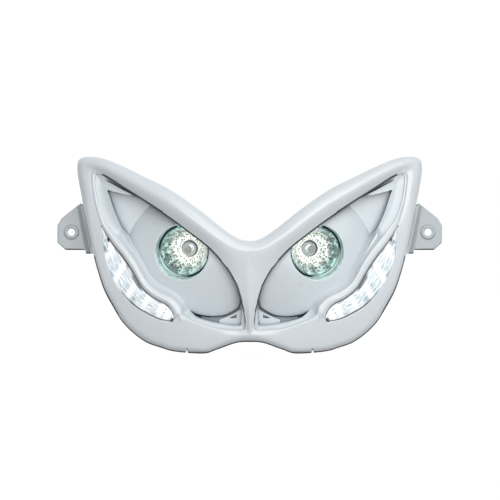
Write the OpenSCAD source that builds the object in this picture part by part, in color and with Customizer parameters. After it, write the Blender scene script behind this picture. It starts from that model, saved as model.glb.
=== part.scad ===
// Twin-lamp scooter headlight in a sculpted painted mask.
// +Z is up, the lamps face -Y, and the origin is midway between the two ear holes,
// on the back face of the ears.

/* [Mask face] */
// Wall of the moulded mask
wall = 2.6; // [2:0.1:3.5]
// How far the nose stands in front of the ears' back face
nose_reach = 70; // [62:1:80]
// How far the face sweeps back from the nose to the ears
sweep_depth = 37; // [30:1:42]
// How far the brow and the chin lean back
lean_depth = 7; // [3:1:12]
// Depth of the mask's side wall behind the face
skirt_depth = 34; // [26:1:40]
// Radius of the rolled outer edge
rim_radius = 6; // [4:0.5:8]
// Radius of the eye opening's edge
lip_radius = 2.5; // [1.5:0.25:3]
// Depth of the eye opening's edge wall behind the face
lip_depth = 5; // [4:0.5:7]
// How far the brow stands in front of the face
brow_height = 6; // [3:0.5:9]
// Height of the bead round the eye opening
bead_height = 1.2; // [0.5:0.1:2]

/* [Ears] */
// Distance between the two ear holes
ear_spacing = 369; // [366:1:374]
// Radius of the hole in each ear
ear_hole_r = 3.75; // [3:0.25:4.25]
// Thickness of each ear
ear_thick = 3.5; // [2.5:0.5:5]
// Radius of the fillet between an ear and the side wall
ear_fillet = 8; // [5:1:10]

/* [Eyeballs] */
// Radius of the eyeball's sphere
ball_radius = 174; // [165:1:190]
// Wall of the eyeball moulding
ball_wall = 2.5; // [2:0.25:3]
// How far the eyeball stands in front of its plate
ball_height = 17; // [14:0.5:17.5]
// Turn of the eyeball's plate towards the outside
plate_yaw = 8; // [7:0.5:9]
// Distance from the face's nose line back to the plate, at the ball's centre
plate_setback = 29.5; // [29:0.5:32]

/* [Lamps] */
// Radius of the lamp's front rim
lamp_r = 25; // [24.5:0.1:25.5]
// Length of the lamp from its glass to the end of its base
lamp_length = 42; // [40:1:45]
// How far the lamp's glass lies behind the mouth of its bore
lamp_recess = 15; // [12:1:18]
// Turn of the lamp towards the outside
lamp_yaw = 12; // [8:1:15]
// Dip of the lamp below level
lamp_dip = 5; // [0:1:7]
// Radial gap between the lamp's rim and its seat
lamp_gap = 0.4; // [0.2:0.1:0.8]
// Width of the bore in front of the lamp, beyond the lamp's rim
bore_margin = 3; // [2:0.5:4]

/* [Light strips] */
// Thickness of the clear strip lens
lens_thick = 2.5; // [2:0.25:3]
// Depth of the chromed tray behind the lens
tray_depth = 11; // [9:0.5:13]
// Wall of the chromed tray
tray_wall = 1.2; // [1:0.1:1.6]
// Side of one square light-emitting chip
chip_side = 5; // [3:0.5:5.5]
// Number of chips in a strip
chip_count = 6; // [4:1:7]

/* [Rear housing] */
// Wall of the rear housing
housing_wall = 2.4; // [2:0.1:3]
// Distance from the ears' back face to the housing's back face
housing_reach = 22; // [20:1:28]
// Radius of the lamp access hole in the housing
access_r = 21; // [18:0.5:24]
// Fitting gap between pieces
clearance = 0.3; // [0.2:0.05:0.5]

/* [Hidden] */

// Left half of the face as stations round the eye, in mm:
// eye edge x and z, outer edge x and z, and the crest's share of the brow's height.
// Stations 9 to 13 run from the eye to the nose, on the plane of symmetry.
stations = [
  [-157, 60, -175, 76, 0.45], [-148, 57, -159, 78, 0.7], [-132, 47, -139, 72, 0.9],
  [-108, 32, -111, 59, 1], [-84, 16, -81, 44, 1], [-61, -1, -52, 24, 0.95],
  [-41, -17, -29, 6, 0.85], [-24, -36, -13, -5, 0.7], [-14, -53, 0, -8, 0.6],
  [-12, -59, 0, -26, 0.5], [-10, -66, 0, -42, 0.45], [-8, -74, 0, -58, 0.4],
  [-6, -83, 0, -76, 0.4], [-5, -91, 0, -92, 0.4], [-6, -99, 0, -112, 0.3],
  [-18, -99, -14, -113, 0.15], [-36, -97, -34, -120, 0.15], [-51, -92, -48, -124, 0.15],
  [-67, -85, -77, -122, 0.15], [-71, -75, -92, -118, 0.15], [-80, -66, -106, -113, 0.15],
  [-94, -59, -119, -104, 0.15], [-106, -49, -131, -92, 0.15], [-116, -31, -141, -76, 0.15],
  [-127, -15, -150, -59, 0.15], [-139, 0, -157, -38, 0.15], [-149, 14, -163, -15, 0.15],
  [-155, 29, -169, 13, 0.15], [-158, 44, -174, 40, 0.2], [-159, 54, -178, 64, 0.3]];
brow_station = 8;
chin_station = 14;
// The light strip's window lies between these stations, from its share of the way across
// the crown at the eye's side to its share at the outer side.
strip_from = 19;
strip_to = 26;
strip_window = [[0.24, 0.42], [0.15, 0.53], [0.145, 0.57], [0.14, 0.64],
  [0.15, 0.74], [0.16, 0.75], [0.2, 0.68], [0.225, 0.285]];
plain_shares = [0.2, 0.6];
// Steps between two stations, and along the roll of the outer edge
station_steps = 2;
roll_steps = 4;
face_half_width = 170;
face_half_height = 95;
face_middle_z = -20;

// Smooth curve through four values, at share f of the way between the middle two
function curve(a, b, c, d, f) =
  0.5 * (2 * b + (c - a) * f + (2 * a - 5 * b + 4 * c - d) * f * f
    + (3 * b - a - 3 * c + d) * f * f * f);
function between(a, b, f) = a + (b - a) * f;
function flip(p) = [-p[0], p[1]];
function row(i) = stations[(i + len(stations)) % len(stations)];
function eye_point(i) = [row(i)[0], row(i)[1]];
function outer_point(i) = [row(i)[2], row(i)[3]];

function eye_edge(t) = let (i = floor(t))
  curve(eye_point(i - 1), eye_point(i), eye_point(i + 1), eye_point(i + 2), t - i);
function outer_edge(t) = let (i = floor(t))
  curve(i == chin_station ? flip(outer_point(i + 1)) : outer_point(i - 1), outer_point(i),
    outer_point(i + 1), i == brow_station - 1 ? flip(outer_point(i)) : outer_point(i + 2), t - i);
function crest_rise(t) = let (i = floor(t))
  brow_height * between(row(i)[4], row(i + 1)[4], t - i);
function roll_radius(t) = rim_radius + crest_rise(t);

// Crest line: set in from the outer edge by the roll, and on the plane of symmetry at the nose
function on_nose(t) = t > brow_station && t < chin_station;
function nose_crest(i) =
  i == brow_station ? outer_point(i) - [0, roll_radius(i)]
  : i == chin_station ? outer_point(i) + [0, roll_radius(i)]
  : outer_point(i);
function crest(t) = let (i = floor(t))
  t >= brow_station && t < chin_station ? between(nose_crest(i), nose_crest(i + 1), t - i)
  : t == chin_station ? nose_crest(i)
  : outer_edge(t) - roll_radius(t) * unit(outer_edge(t) - eye_edge(t));
function unit(v) = v / norm(v);

// Middle surface of the face, and a place on it h in front
function face_y(p) = -nose_reach + sweep_depth * pow(p[0] / face_half_width, 2)
  + lean_depth * pow((p[1] - face_middle_z) / face_half_height, 2);
function at(p, h) = [p[0], face_y(p) - h, p[1]];

// Shares of the crown at which the window's two sides lie
function window_share(i, k) = i < strip_from || i > strip_to ? plain_shares[k]
  : strip_window[i - strip_from][k];
function share(t, k) = let (i = floor(t))
  between(window_share(i, k), window_share(i + 1, k), t - i);

// Place on the crown, r from the eye's edge, with depth d below its skin
function crown_length(t) = norm(crest(t) - eye_edge(t));
function side_r(t, k) = between(lip_radius, crown_length(t), share(t, k));
function bead(t, r) = let (f = (r - lip_radius) / (side_r(t, 0) - lip_radius))
  f > 0 && f < 1 ? bead_height * pow(sin(180 * f), 2) : 0;
function crown_h(t, r) = bead(t, r)
  + crest_rise(t) * sin(90 * max(0, r - lip_radius) / (crown_length(t) - lip_radius));
function crown(t, r, d) =
  at(eye_edge(t) + r * unit(crest(t) - eye_edge(t)), crown_h(t, r) - d);

// Roll of the outer edge, at angle a from the crest, with depth d below its skin
function roll(t, a, d) = let (r = roll_radius(t), out = unit(outer_edge(t) - crest(t)))
  at(crest(t) + (r - d) * sin(a) * out, crest_rise(t) - r + (r - d) * cos(a));
function skirt_end(t, d) = let (out = unit(outer_edge(t) - crest(t)))
  at(outer_edge(t) - d * out, -skirt_depth);

// One section of the mask, round from the lip's back over the skin to the skirt and back
function skin(t) = let (e = eye_edge(t), u = unit(crest(t) - e), a = side_r(t, 0), b = side_r(t, 1))
  concat([at(e, -lip_depth), at(e, -lip_radius),
      at(e + lip_radius * (1 - cos(45)) * u, lip_radius * (sin(45) - 1))],
    [for (r = [lip_radius, (lip_radius + a) / 2, a, (3 * a + b) / 4, (a + b) / 2, (a + 3 * b) / 4,
        b, (b + crown_length(t)) / 2]) crown(t, r, 0)],
    on_nose(t) ? [for (i = [0 : roll_steps + 1]) crown(t, crown_length(t), 0)]
    : concat([for (i = [0 : roll_steps]) roll(t, 90 * i / roll_steps, 0)], [skirt_end(t, 0)]));
function lining(t) = let (e = eye_edge(t), u = unit(crest(t) - e), a = side_r(t, 0), b = side_r(t, 1))
  concat([at(e + wall * u, -lip_depth), crown(t, wall, wall)],
    [for (r = [a, (a + b) / 2, b]) crown(t, r, wall)],
    on_nose(t) ? [for (i = [0 : 3]) crown(t, crown_length(t), wall)]
    : [roll(t, 0, wall), roll(t, 45, wall), roll(t, 90, wall), skirt_end(t, wall)]);

function reverse(v) = [for (i = [len(v) - 1 : -1 : 0]) v[i]];
function section(t) = concat(skin(t), reverse(lining(t)));
skin_window = [5, 9];      // points of a section between which the window is cut in the skin
lining_window = [21, 23];  // and in the lining
nose_gap = [11, 20];       // points between which a nose section is open to the other half
section_points = 26;
sections = len(stations) * station_steps;

function step_t(k) = (k % sections) / station_steps;
function in_range(v, r) = v >= r[0] && v < r[1];
function nose_step(k) = in_range(k, [brow_station, chin_station] * station_steps);
function strip_step(k) = in_range(k, [strip_from, strip_to] * station_steps);
function shared(k, j) = k >= brow_station * station_steps && k <= chin_station * station_steps
  && j >= nose_gap[0] && j <= nose_gap[1];
function id(k, j, right) = (k % sections) * section_points + j % section_points
  + (right && !shared(k % sections, j % section_points) ? sections * section_points : 0);
function quad(a, b, c, d, turned) = turned ? [[a, c, b], [a, d, c]] : [[a, b, c], [a, c, d]];
function cell(k, j, right) = quad(id(k, j, right), id(k, j + 1, right),
  id(k + 1, j + 1, right), id(k + 1, j, right), right);
function kept(k, j) = !(nose_step(k) && in_range(j, nose_gap))
  && !(strip_step(k) && (in_range(j, skin_window) || in_range(j, lining_window)));
function window_side(k, a, b, right) =
  quad(id(k, a, right), id(k, b, right), id(k + 1, b, right), id(k + 1, a, right), right);
function window_end(k, right) = let (face = concat(
    [for (j = [skin_window[0] : skin_window[1]]) id(k, j, right)],
    [for (j = [lining_window[0] : lining_window[1]]) id(k, j, right)]))
  (k == strip_from * station_steps) != right ? [face] : [reverse(face)];

module mask_shell() {
  half = [for (k = [0 : sections - 1]) each section(step_t(k))];
  polyhedron(concat(half, [for (p = half) [-p[0], p[1], p[2]]]),
    [for (right = [false, true])
      each concat(
        [for (k = [0 : sections - 1]) for (j = [0 : section_points - 1]) if (kept(k, j))
          each cell(k, j, right)],
        [for (k = [0 : sections - 1]) if (strip_step(k))
          each concat(window_side(k, skin_window[0], lining_window[1], right),
            window_side(k, lining_window[0], skin_window[1], right))],
        window_end(strip_from * station_steps, right),
        window_end(strip_to * station_steps, right))],
    convexity = 6);
}

// Solid skinned over a row of rings, with flat ends unless it closes on itself
module loft(rings, closed = false) {
  n = len(rings[0]);
  m = len(rings);
  polyhedron([for (ring = rings) each ring], concat(
    [for (i = [0 : m - (closed ? 1 : 2)]) for (j = [0 : n - 1])
      each quad(i * n + j, i * n + (j + 1) % n,
        (i + 1) % m * n + (j + 1) % n, (i + 1) % m * n + j, false)],
    closed ? [] : [[for (j = [n - 1 : -1 : 0]) j], [for (j = [0 : n - 1]) (m - 1) * n + j]]),
    convexity = 8);
}
module both_sides() {
  children();
  mirror([1, 0, 0]) children();
}
// Prism of an outline in x and z, reaching forward from y = 0
module slab(thick) rotate([90, 0, 0]) linear_extrude(thick) children();
// Cylinder along y between two depths
module post(p, from_y, to_y, r) translate([p[0], to_y, p[1]]) rotate([90, 0, 0])
  cylinder(h = to_y - from_y, r = r);

// Arc of radius r that rounds the corner b between a and c
function corner(a, b, c, r, steps = 5) = let (u = unit(a - b), v = unit(c - b), half = acos(u * v) / 2,
    centre = b + unit(u + v) * r / sin(half), from = b + u * r / tan(half), to = b + v * r / tan(half))
  [for (i = [0 : steps]) centre + r * unit(between(from, to, i / steps) - centre)];

// Ear: outline offsets from its hole, and the stations of the side wall that it joins
ear_hole = [-ear_spacing / 2, 0];
ear_corners = [[9.5, 30], [-10, 14.5], [-14.5, 7], [-14.5, -11], [-6, -18.5], [20, -18.5]];
ear_corner_r = 4;
ear_from = 25.7;
ear_to = 27.5;
ear_step = 0.45;
ear_boss = [3.6, 1.4];
$fn = 64;

function ear_outline() = let (c = [for (p = ear_corners) ear_hole + p], n = len(c))
  concat([c[0]], [for (i = [1 : n - 2]) each corner(c[i - 1], c[i], c[i + 1], ear_corner_r)], [c[n - 1]],
    [for (t = [ear_from : ear_step : ear_to]) outer_edge(t) + [wall / 2, 0]]);
function fillet_ring(t) = let (x = outer_edge(t)[0], z = outer_edge(t)[1], f = ear_fillet, y = -ear_thick)
  concat([[x + wall / 2, y + 1, z], [x + wall / 2, y - f, z]],
    [for (a = [0 : 22.5 : 90]) [x - f * (1 - cos(a)), y - f * (1 - sin(a)), z]],
    [[x - f, y + 1, z]]);
module ear() {
  slab(ear_thick) polygon(ear_outline());
  post(ear_hole, -ear_thick - ear_boss[1], -ear_thick + 1, ear_hole_r + ear_boss[0]);
  loft([for (t = [ear_from : ear_step : ear_to]) fillet_ring(t)]);
}

// Places across the crown: station and distance from the eye's edge
function place(t, r) = eye_edge(t) + r * unit(crest(t) - eye_edge(t));
side_screws = [[1, 11], [3.5, 15.5], [17.5, 17]];
nose_screw_station = 9.25;
nose_screw = [nose_screw_station, crown_length(nose_screw_station)];
housing_screws_at = concat(side_screws, [nose_screw]);
eyeball_screws_at = [[2.2, 12.5], [6.2, 13], [16.3, 9]];
boss_r = 3.5;
pilot_r = 1.6;
pilot_run = 1.4;
housing_boss_depth = 20;
screw_r = 1.5;
screw_head_r = 3;
screw_head_h = 2;
screw_gap = 0.1;
cross_width = 3.4;
cross_slot = 0.8;
cross_depth = 1;

function boss_front(s) = crown(s[0], s[1], wall)[1];
function housing_seat(s) = face_y(place(s[0], s[1])) + housing_boss_depth;
function plate_y(x) = plate_setback - nose_reach - tan(plate_yaw) * (x - ball_at[0]);
function tab_y(s) = plate_y(min(place(s[0], s[1])[0], inner_edge(s[0])[0]) - tab_half_width);
function eyeball_seat(s) = tab_y(s) - clearance;
module boss(s, tip_y, bite) let (p = place(s[0], s[1])) difference() {
  post(p, boss_front(s), tip_y, boss_r);
  post(p, tip_y - pilot_run * bite, tip_y + 1, pilot_r);
}

// Small slanted cut in the chin's edge
notch_at = [-64.5, -124];
notch_size = [3, 6.5];
notch_below = 2;
module notch() translate([notch_at[0], 0, notch_at[1]]) slab(nose_reach + lean_depth)
  polygon([[-notch_size[0] / 2, -notch_below], [notch_size[0] / 2, notch_size[1]],
    [notch_size[0], -notch_below]]);

module fascia() color("white") difference() {
  union() {
    mask_shell();
    both_sides() {
      ear();
      for (s = eyeball_screws_at) boss(s, eyeball_seat(s), eyeball_bite);
      for (s = side_screws) boss(s, housing_seat(s), housing_bite);
    }
    boss(nose_screw, housing_seat(nose_screw), housing_bite);
  }
  both_sides() {
    post(ear_hole, -ear_thick - ear_boss[1] - 1, 1, ear_hole_r);
    notch();
  }
}

// Bezel behind the eye opening, one row for each station: its inner edge x and z, its lap
// under the mask, the share of its back wall, and the plate's margin round that edge.
bezel_rows = [
  [-146, 44, 3, 1, 3], [-141, 42.5, 3, 1, 3], [-131, 40, 4, 1, 4], [-110, 34.5, 6, 0, 4.5],
  [-86, 19.5, 8, 0, 8], [-62.5, 1.5, 8, 0, 10.5], [-42, -14.5, 6, 0, 7], [-24, -33, 6, 0, 5],
  [-13, -51, 5, 0, 4], [-11, -58, 4.5, 0, 4], [-9, -65.5, 4, 0, 3.5], [-8, -74, 3.5, 0, 3],
  [-8, -83, 3, 1, 3], [-8.5, -90, 3, 1, 3], [-9.5, -94.5, 3, 1, 3], [-19, -94.5, 3, 1, 3],
  [-36, -91.5, 3, 1, 3], [-51, -87.5, 3, 1, 3], [-63, -80.5, 3, 1, 3], [-68, -71.5, 3, 1, 3],
  [-79, -62, 3, 1, 3], [-92, -55, 3, 1, 3], [-102, -46, 3, 1, 3], [-111, -30, 3, 1, 3],
  [-122, -12, 3, 1, 3], [-132, 6, 3, 1, 3], [-138, 19, 3, 1, 3], [-142, 30, 3, 1, 3],
  [-144.5, 38, 3, 1, 3], [-146, 42, 3, 1, 3]];
bezel_wall = 1.8;
bezel_step = 1.2;
bezel_round = 1;
bezel_taper = 0.2;
// Web with a small three-sided window in the bezel's lower inner corner
web_corners = [[-31, -95], [-7.5, -96.5], [-7, -79.5], [-10.5, -79.5], [-15, -82.5], [-25, -87],
  [-31, -89]];
web_window = [[-21.5, -87.5], [-13.5, -83.5], [-13.5, -87.5]];
web_depth = 13;
web_thick = 1.5;

function bezel_row(i) = bezel_rows[(i + len(bezel_rows)) % len(bezel_rows)];
function bezel_at(t) = let (i = floor(t)) curve(bezel_row(i - 1), bezel_row(i), bezel_row(i + 1),
  bezel_row(i + 2), t - i);
function bezel_share(t) = let (i = floor(t)) between(bezel_row(i)[3], bezel_row(i + 1)[3], t - i);
function inner_edge(t) = let (b = bezel_at(t)) [b[0], b[1]];
function lap_edge(t) = place(t, bezel_at(t)[2]);
function plate_edge(t) = inner_edge(t) + bezel_at(t)[4] * unit(lap_edge(t) - inner_edge(t));
function at_plate(p, gap) = [p[0], plate_y(p[0]) - gap, p[1]];
function bezel_ring(t) = let (q = lap_edge(t), b = inner_edge(t), w = b + bezel_wall * unit(q - b),
    d = lip_depth + clearance, low = d + bezel_step, f = bezel_share(t))
  [at(q, -d), at(between(q, b, 0.5), -d), at(between(q, b, 0.6), -low), at(between(q, b, 0.9), -low),
    at(b, -low - bezel_round),
    between(at(b, -low - bezel_wall), at_plate(b, clearance), f),
    between(at(w, -low - bezel_wall - bezel_taper), at_plate(w, clearance), f),
    at(w, -low - bezel_wall), at(q, -d - bezel_wall)];
module eye_bezel() color("gainsboro") {
  loft([for (k = [0 : sections - 1]) reverse(bezel_ring(step_t(k)))], closed = true);
  translate([0, face_y(web_window[0]) + web_depth, 0]) slab(web_thick) difference() {
    polygon(web_corners);
    polygon(web_window);
  }
}

// Eyeball: a plate behind the bezel with a trimmed dome and the lamp's bore
ball_at = [-55, -30];
ball_edge = [[-140, 26], [-137, 33], [-124, 37], [-108, 36], [-82, 24], [-55, 8.5], [-38, -12],
  [-21.5, -33.5], [-12.5, -51], [-8.5, -65], [-9.5, -72.5], [-12.5, -77.5], [-24, -84], [-35, -85.5],
  [-45, -85], [-56, -82.5], [-62, -78.5], [-67, -69.5], [-78, -60], [-91, -53], [-101, -44],
  [-109.5, -29], [-120.5, -11], [-130.5, 7], [-136.5, 19]];
mouth_at = [-70, -20];
bore_r = lamp_r + bore_margin;
bore_wall = 2;
rim_thick = 3;
seat_thick = 2;
seat_r = lamp_r - 1.6;
tab_half_width = 5;
// Every screw of a kind reaches half-way up its shallowest boss, and its pilot hole runs on
eyeball_bite = min([for (s = eyeball_screws_at) eyeball_seat(s) - boss_front(s)]) / 2;
housing_bite = min([for (s = housing_screws_at) housing_seat(s) - boss_front(s)]) / 2;

function wrap(v, i) = v[(i + len(v)) % len(v)];
function smooth(points, steps) = [for (i = [0 : len(points) - 1]) for (k = [0 : steps - 1])
  curve(wrap(points, i - 1), wrap(points, i), wrap(points, i + 1), wrap(points, i + 2), k / steps)];
function inset(points, d) = [for (i = [0 : len(points) - 1])
  let (along = unit(wrap(points, i + 1) - wrap(points, i - 1))) points[i] + d * [along[1], -along[0]]];
function on_plate(p) = [(p[0] - ball_at[0]) / cos(plate_yaw), p[1] - ball_at[1]];
module plate_frame() translate([ball_at[0], plate_y(ball_at[0]), ball_at[1]])
  rotate([0, 0, -plate_yaw]) rotate([90, 0, 0]) children();
module ball(r) translate([0, 0, ball_height - ball_radius]) sphere(r, $fn = 160);

mouth_rise = sqrt(pow(ball_radius, 2) - pow(norm(on_plate(mouth_at)), 2)) - ball_radius + ball_height;
mouth = [mouth_at[0], plate_y(mouth_at[0]) - mouth_rise / cos(plate_yaw), mouth_at[1]];
lamp_axis = [-sin(lamp_yaw) * cos(lamp_dip), -cos(lamp_yaw) * cos(lamp_dip), -sin(lamp_dip)];
lamp_face = mouth - lamp_recess * lamp_axis;
module lamp_frame() translate(lamp_face) rotate([0, 0, -lamp_yaw]) rotate([90 + lamp_dip, 0, 0]) children();

module tab(s) let (p = place(s[0], s[1]), from = inner_edge(s[0]), y = tab_y(s), u = unit(p - from)) {
  difference() {
    union() {
      post(p, y, y + ball_wall, tab_half_width);
      translate([0, y + ball_wall, 0]) slab(ball_wall) polygon([
        p + tab_half_width * [-u[1], u[0]], p - tab_half_width * [-u[1], u[0]],
        from - tab_half_width * [-u[1], u[0]], from + tab_half_width * [-u[1], u[0]]]);
    }
    post(p, y - 1, y + ball_wall + 1, pilot_r + screw_gap);
  }
}
module eyeball() color("white") {
  edge = [for (p = smooth(ball_edge, 2)) on_plate(p)];
  for (s = eyeball_screws_at) difference() {
    tab(s);
    plate_frame() linear_extrude(ball_height, center = true) polygon(inset(edge, ball_wall));
  }
  difference() {
    union() {
      difference() {
        plate_frame() {
          translate([0, 0, -ball_wall]) linear_extrude(ball_wall)
            polygon([for (k = [0 : sections - 1]) on_plate(plate_edge(step_t(k)))]);
          intersection() {
            ball(ball_radius);
            linear_extrude(ball_height + 1) polygon(edge);
          }
        }
        plate_frame() intersection() {
          ball(ball_radius - ball_wall);
          translate([0, 0, -2 * ball_wall]) linear_extrude(2 * ball_height) polygon(inset(edge, ball_wall));
        }
      }
      intersection() {
        lamp_frame() translate([0, 0, -rim_thick - seat_thick])
          cylinder(h = 3 * lamp_recess, r = bore_r + bore_wall);
        plate_frame() ball(ball_radius);
      }
    }
    lamp_frame() {
      cylinder(h = 3 * lamp_recess, r = bore_r);
      translate([0, 0, -rim_thick]) cylinder(h = lamp_recess, r = lamp_r + lamp_gap);
      translate([0, 0, -rim_thick - seat_thick - 1]) cylinder(h = lamp_recess, r = seat_r);
    }
  }
}

// Lamp: a glass reflector with its front glass, capsule and ceramic base
glass_thick = 1.5;
glass_seat = 0.8;
shell_thick = 1.6;
neck_r = 8.3;
neck_depth = 24;
base_depth = 27;
base_width = 12;
base_flat_from = 4;
base_foot = 0.1;
pin_r = 0.75;
pin_spacing = 5.33;
pin_length = 7;
capsule_r = 4;
capsule_front = 11;
reflector_steps = 12;
shell_back = 1.2;
shell_edge = 0.3;
rim_slope = 0.1;
function bowl_r(d) = let (f = (neck_depth - d) / (neck_depth - glass_thick - glass_seat))
  neck_r + (lamp_r - shell_thick - neck_r) * sqrt(max(0, f));
function bowl_depth(i) = glass_thick + glass_seat
  + (neck_depth - glass_thick - glass_seat) * (1 - pow(1 - i / reflector_steps, 2));
module lamp_reflector() color("lightcyan") lamp_frame() rotate_extrude($fn = 96) polygon(concat(
  [[lamp_r, 0], [lamp_r - glass_seat, 0], [lamp_r - glass_seat, -glass_thick - glass_seat]],
  [for (i = [0 : reflector_steps]) [bowl_r(bowl_depth(i)), -bowl_depth(i)]],
  [[neck_r, -base_depth], [neck_r + shell_thick, -base_depth]],
  [for (i = [reflector_steps : -1 : 1]) [min(seat_r - shell_edge, bowl_r(bowl_depth(i)) + shell_thick),
    -bowl_depth(i) - shell_back]],
  [[seat_r - shell_edge, -rim_thick], [lamp_r, -rim_thick + rim_slope]]));
glass_set_in = 0.3;
glass_gap = 0.1;
module lamp_glass() color("aliceblue", 0.4) lamp_frame() translate([0, 0, -glass_thick - glass_set_in])
  cylinder(h = glass_thick, r = lamp_r - glass_seat - glass_gap, $fn = 96);
module lamp_capsule() color("ivory") lamp_frame() {
  translate([0, 0, base_foot - base_depth])
    cylinder(h = base_depth - capsule_front - capsule_r, r = capsule_r);
  translate([0, 0, -capsule_front - capsule_r]) sphere(capsule_r);
}
module lamp_base() let (r = neck_r + shell_thick) color("ivory") lamp_frame() {
  translate([0, 0, -base_depth - base_foot]) mirror([0, 0, 1]) difference() {
    cylinder(h = lamp_length - base_depth, r = r);
    for (z = [-base_width / 2 - r, base_width / 2])
      translate([-r, z, -base_flat_from]) cube([2 * r, r, lamp_length]);
  }
  for (x = [-1, 1]) translate([x * pin_spacing / 2, 0, -lamp_length - pin_length])
    cylinder(h = pin_length + 1, r = pin_r, $fn = 24);
}

// Spring ring that holds the lamp in its seat
ring_wire_r = 1.1;
ring_open = 30;
ring_gap = 0.2;
module lamp_ring() color("dimgray") lamp_frame() translate([0, 0, clearance + ring_wire_r])
  rotate([0, 0, 90 + ring_open / 2]) rotate_extrude(angle = 360 - ring_open, $fn = 96)
  translate([lamp_r + ring_wire_r + ring_gap, 0]) circle(ring_wire_r, $fn = 24);

// Ceramic socket on the lamp's pins
socket_size = [22, 13, 12];
socket_lug_r = 4;
socket_rivet_r = 1.6;
socket_floor = 3;
socket_pin_gap = 0.2;
socket_shoulder = 3;
module lamp_socket() let (lug = socket_size[0] / 2 - socket_lug_r,
    block = socket_size[0] - 2 * socket_shoulder)
  color("beige") lamp_frame() translate([0, 0, -lamp_length - clearance - socket_size[2]]) difference() {
    union() {
      translate([-block / 2, -socket_size[1] / 2, 0]) cube([block, socket_size[1], socket_size[2]]);
      for (x = [-lug, lug]) translate([x, 0, 0]) cylinder(h = socket_size[2], r = socket_lug_r);
    }
    for (x = [-1, 1] * pin_spacing / 2) translate([x, 0, socket_floor])
      cylinder(h = socket_size[2], r = pin_r + socket_pin_gap, $fn = 24);
    for (x = [-lug, lug]) translate([x, 0, -1])
      cylinder(h = socket_size[2] + 2, r = socket_rivet_r, $fn = 24);
  }

// Light strip: everything in it follows the window between its two stations
strip_ends = [strip_from + 0.04, strip_to - 0.04];
strip_steps = 16;
strip_lap = 2;
flange_thick = 1.5;
flange_front = wall + clearance;
flange_back = flange_front + flange_thick;
tray_front = flange_back + clearance;
tray_floor = tray_front + tray_depth - tray_wall;
board_thick = 1.2;
chip_thick = 1.6;
chip_ends = [19.9, 25.1];
lens_crown = 0.6;
tray_ends = [0.25, 0.4];
chip_sink = 0.1;
function crest_h(t, r) = crown_h(t, r) - bead(t, r);
function under(t, r, d) = at(place(t, r), crest_h(t, r) - d);
function strip_t(i) = between(strip_ends[0], strip_ends[1], i / strip_steps);
function lens_ring(t) = let (a = side_r(t, 0) + clearance, b = side_r(t, 1) - clearance,
    w = min(lens_thick, 0.3 * (b - a)))
  concat([under(t, a - strip_lap, flange_back), under(t, a - strip_lap, flange_front),
      under(t, a, flange_front)],
    [for (i = [0 : 4]) under(t, between(a, b, i / 4), clearance - (lens_crown + clearance) * sin(45 * i))],
    [under(t, b, flange_front), under(t, b + strip_lap, flange_front),
      under(t, b + strip_lap, flange_back), under(t, b - w, flange_back), under(t, b - w, lens_thick),
      under(t, a + w, lens_thick), under(t, a + w, flange_back)]);
module strip_lens() color("aliceblue", 0.5) loft([for (i = [0 : strip_steps]) lens_ring(strip_t(i))]);

function tray_sides(t, gap) = [side_r(t, 0) + clearance - strip_lap + gap,
  side_r(t, 1) - clearance + strip_lap - gap];
function box_ring(t, s, front, back) =
  [under(t, s[0], back), under(t, s[0], front), under(t, s[1], front), under(t, s[1], back)];
module tray_block(from, to, gap, front, back)
  loft([for (i = [0 : strip_steps]) let (t = between(strip_t(from), strip_t(to), i / strip_steps))
    box_ring(t, tray_sides(t, gap), front, back)]);
module strip_tray() color("silver") difference() {
  tray_block(0, strip_steps, 0, tray_front, tray_floor + tray_wall);
  tray_block(tray_ends[0], strip_steps - tray_ends[1], tray_wall, tray_front - 1, tray_floor);
}
board_from = 0.6;
board_to = strip_steps - 1;
board_front = tray_floor - clearance - board_thick;
module strip_board() color("seagreen") loft([for (i = [0 : strip_steps - 1])
  let (t = strip_t(between(board_from, board_to, i / (strip_steps - 1))))
    box_ring(t, tray_sides(t, tray_wall + 2 * clearance), board_front, tray_floor - clearance)]);
module strip_chips() color("lightyellow") for (i = [0 : chip_count - 1])
  let (t = between(chip_ends[0], chip_ends[1], i / (chip_count - 1)),
      r = (side_r(t, 0) + side_r(t, 1)) / 2, d = board_front - chip_sink,
      p = under(t, r, d), ahead = under(t + 0.1, r, d), across = unit(under(t, r + 1, d) - p))
    translate(p) multmatrix([for (i = [0 : 2]) [across[i], -unit(cross(across, unit(ahead - p)))[i],
        unit(cross(unit(cross(across, unit(ahead - p))), across))[i], 0]])
      translate([-chip_side / 2, 0, -chip_side / 2]) cube([chip_side, chip_thick, chip_side]);

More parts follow.
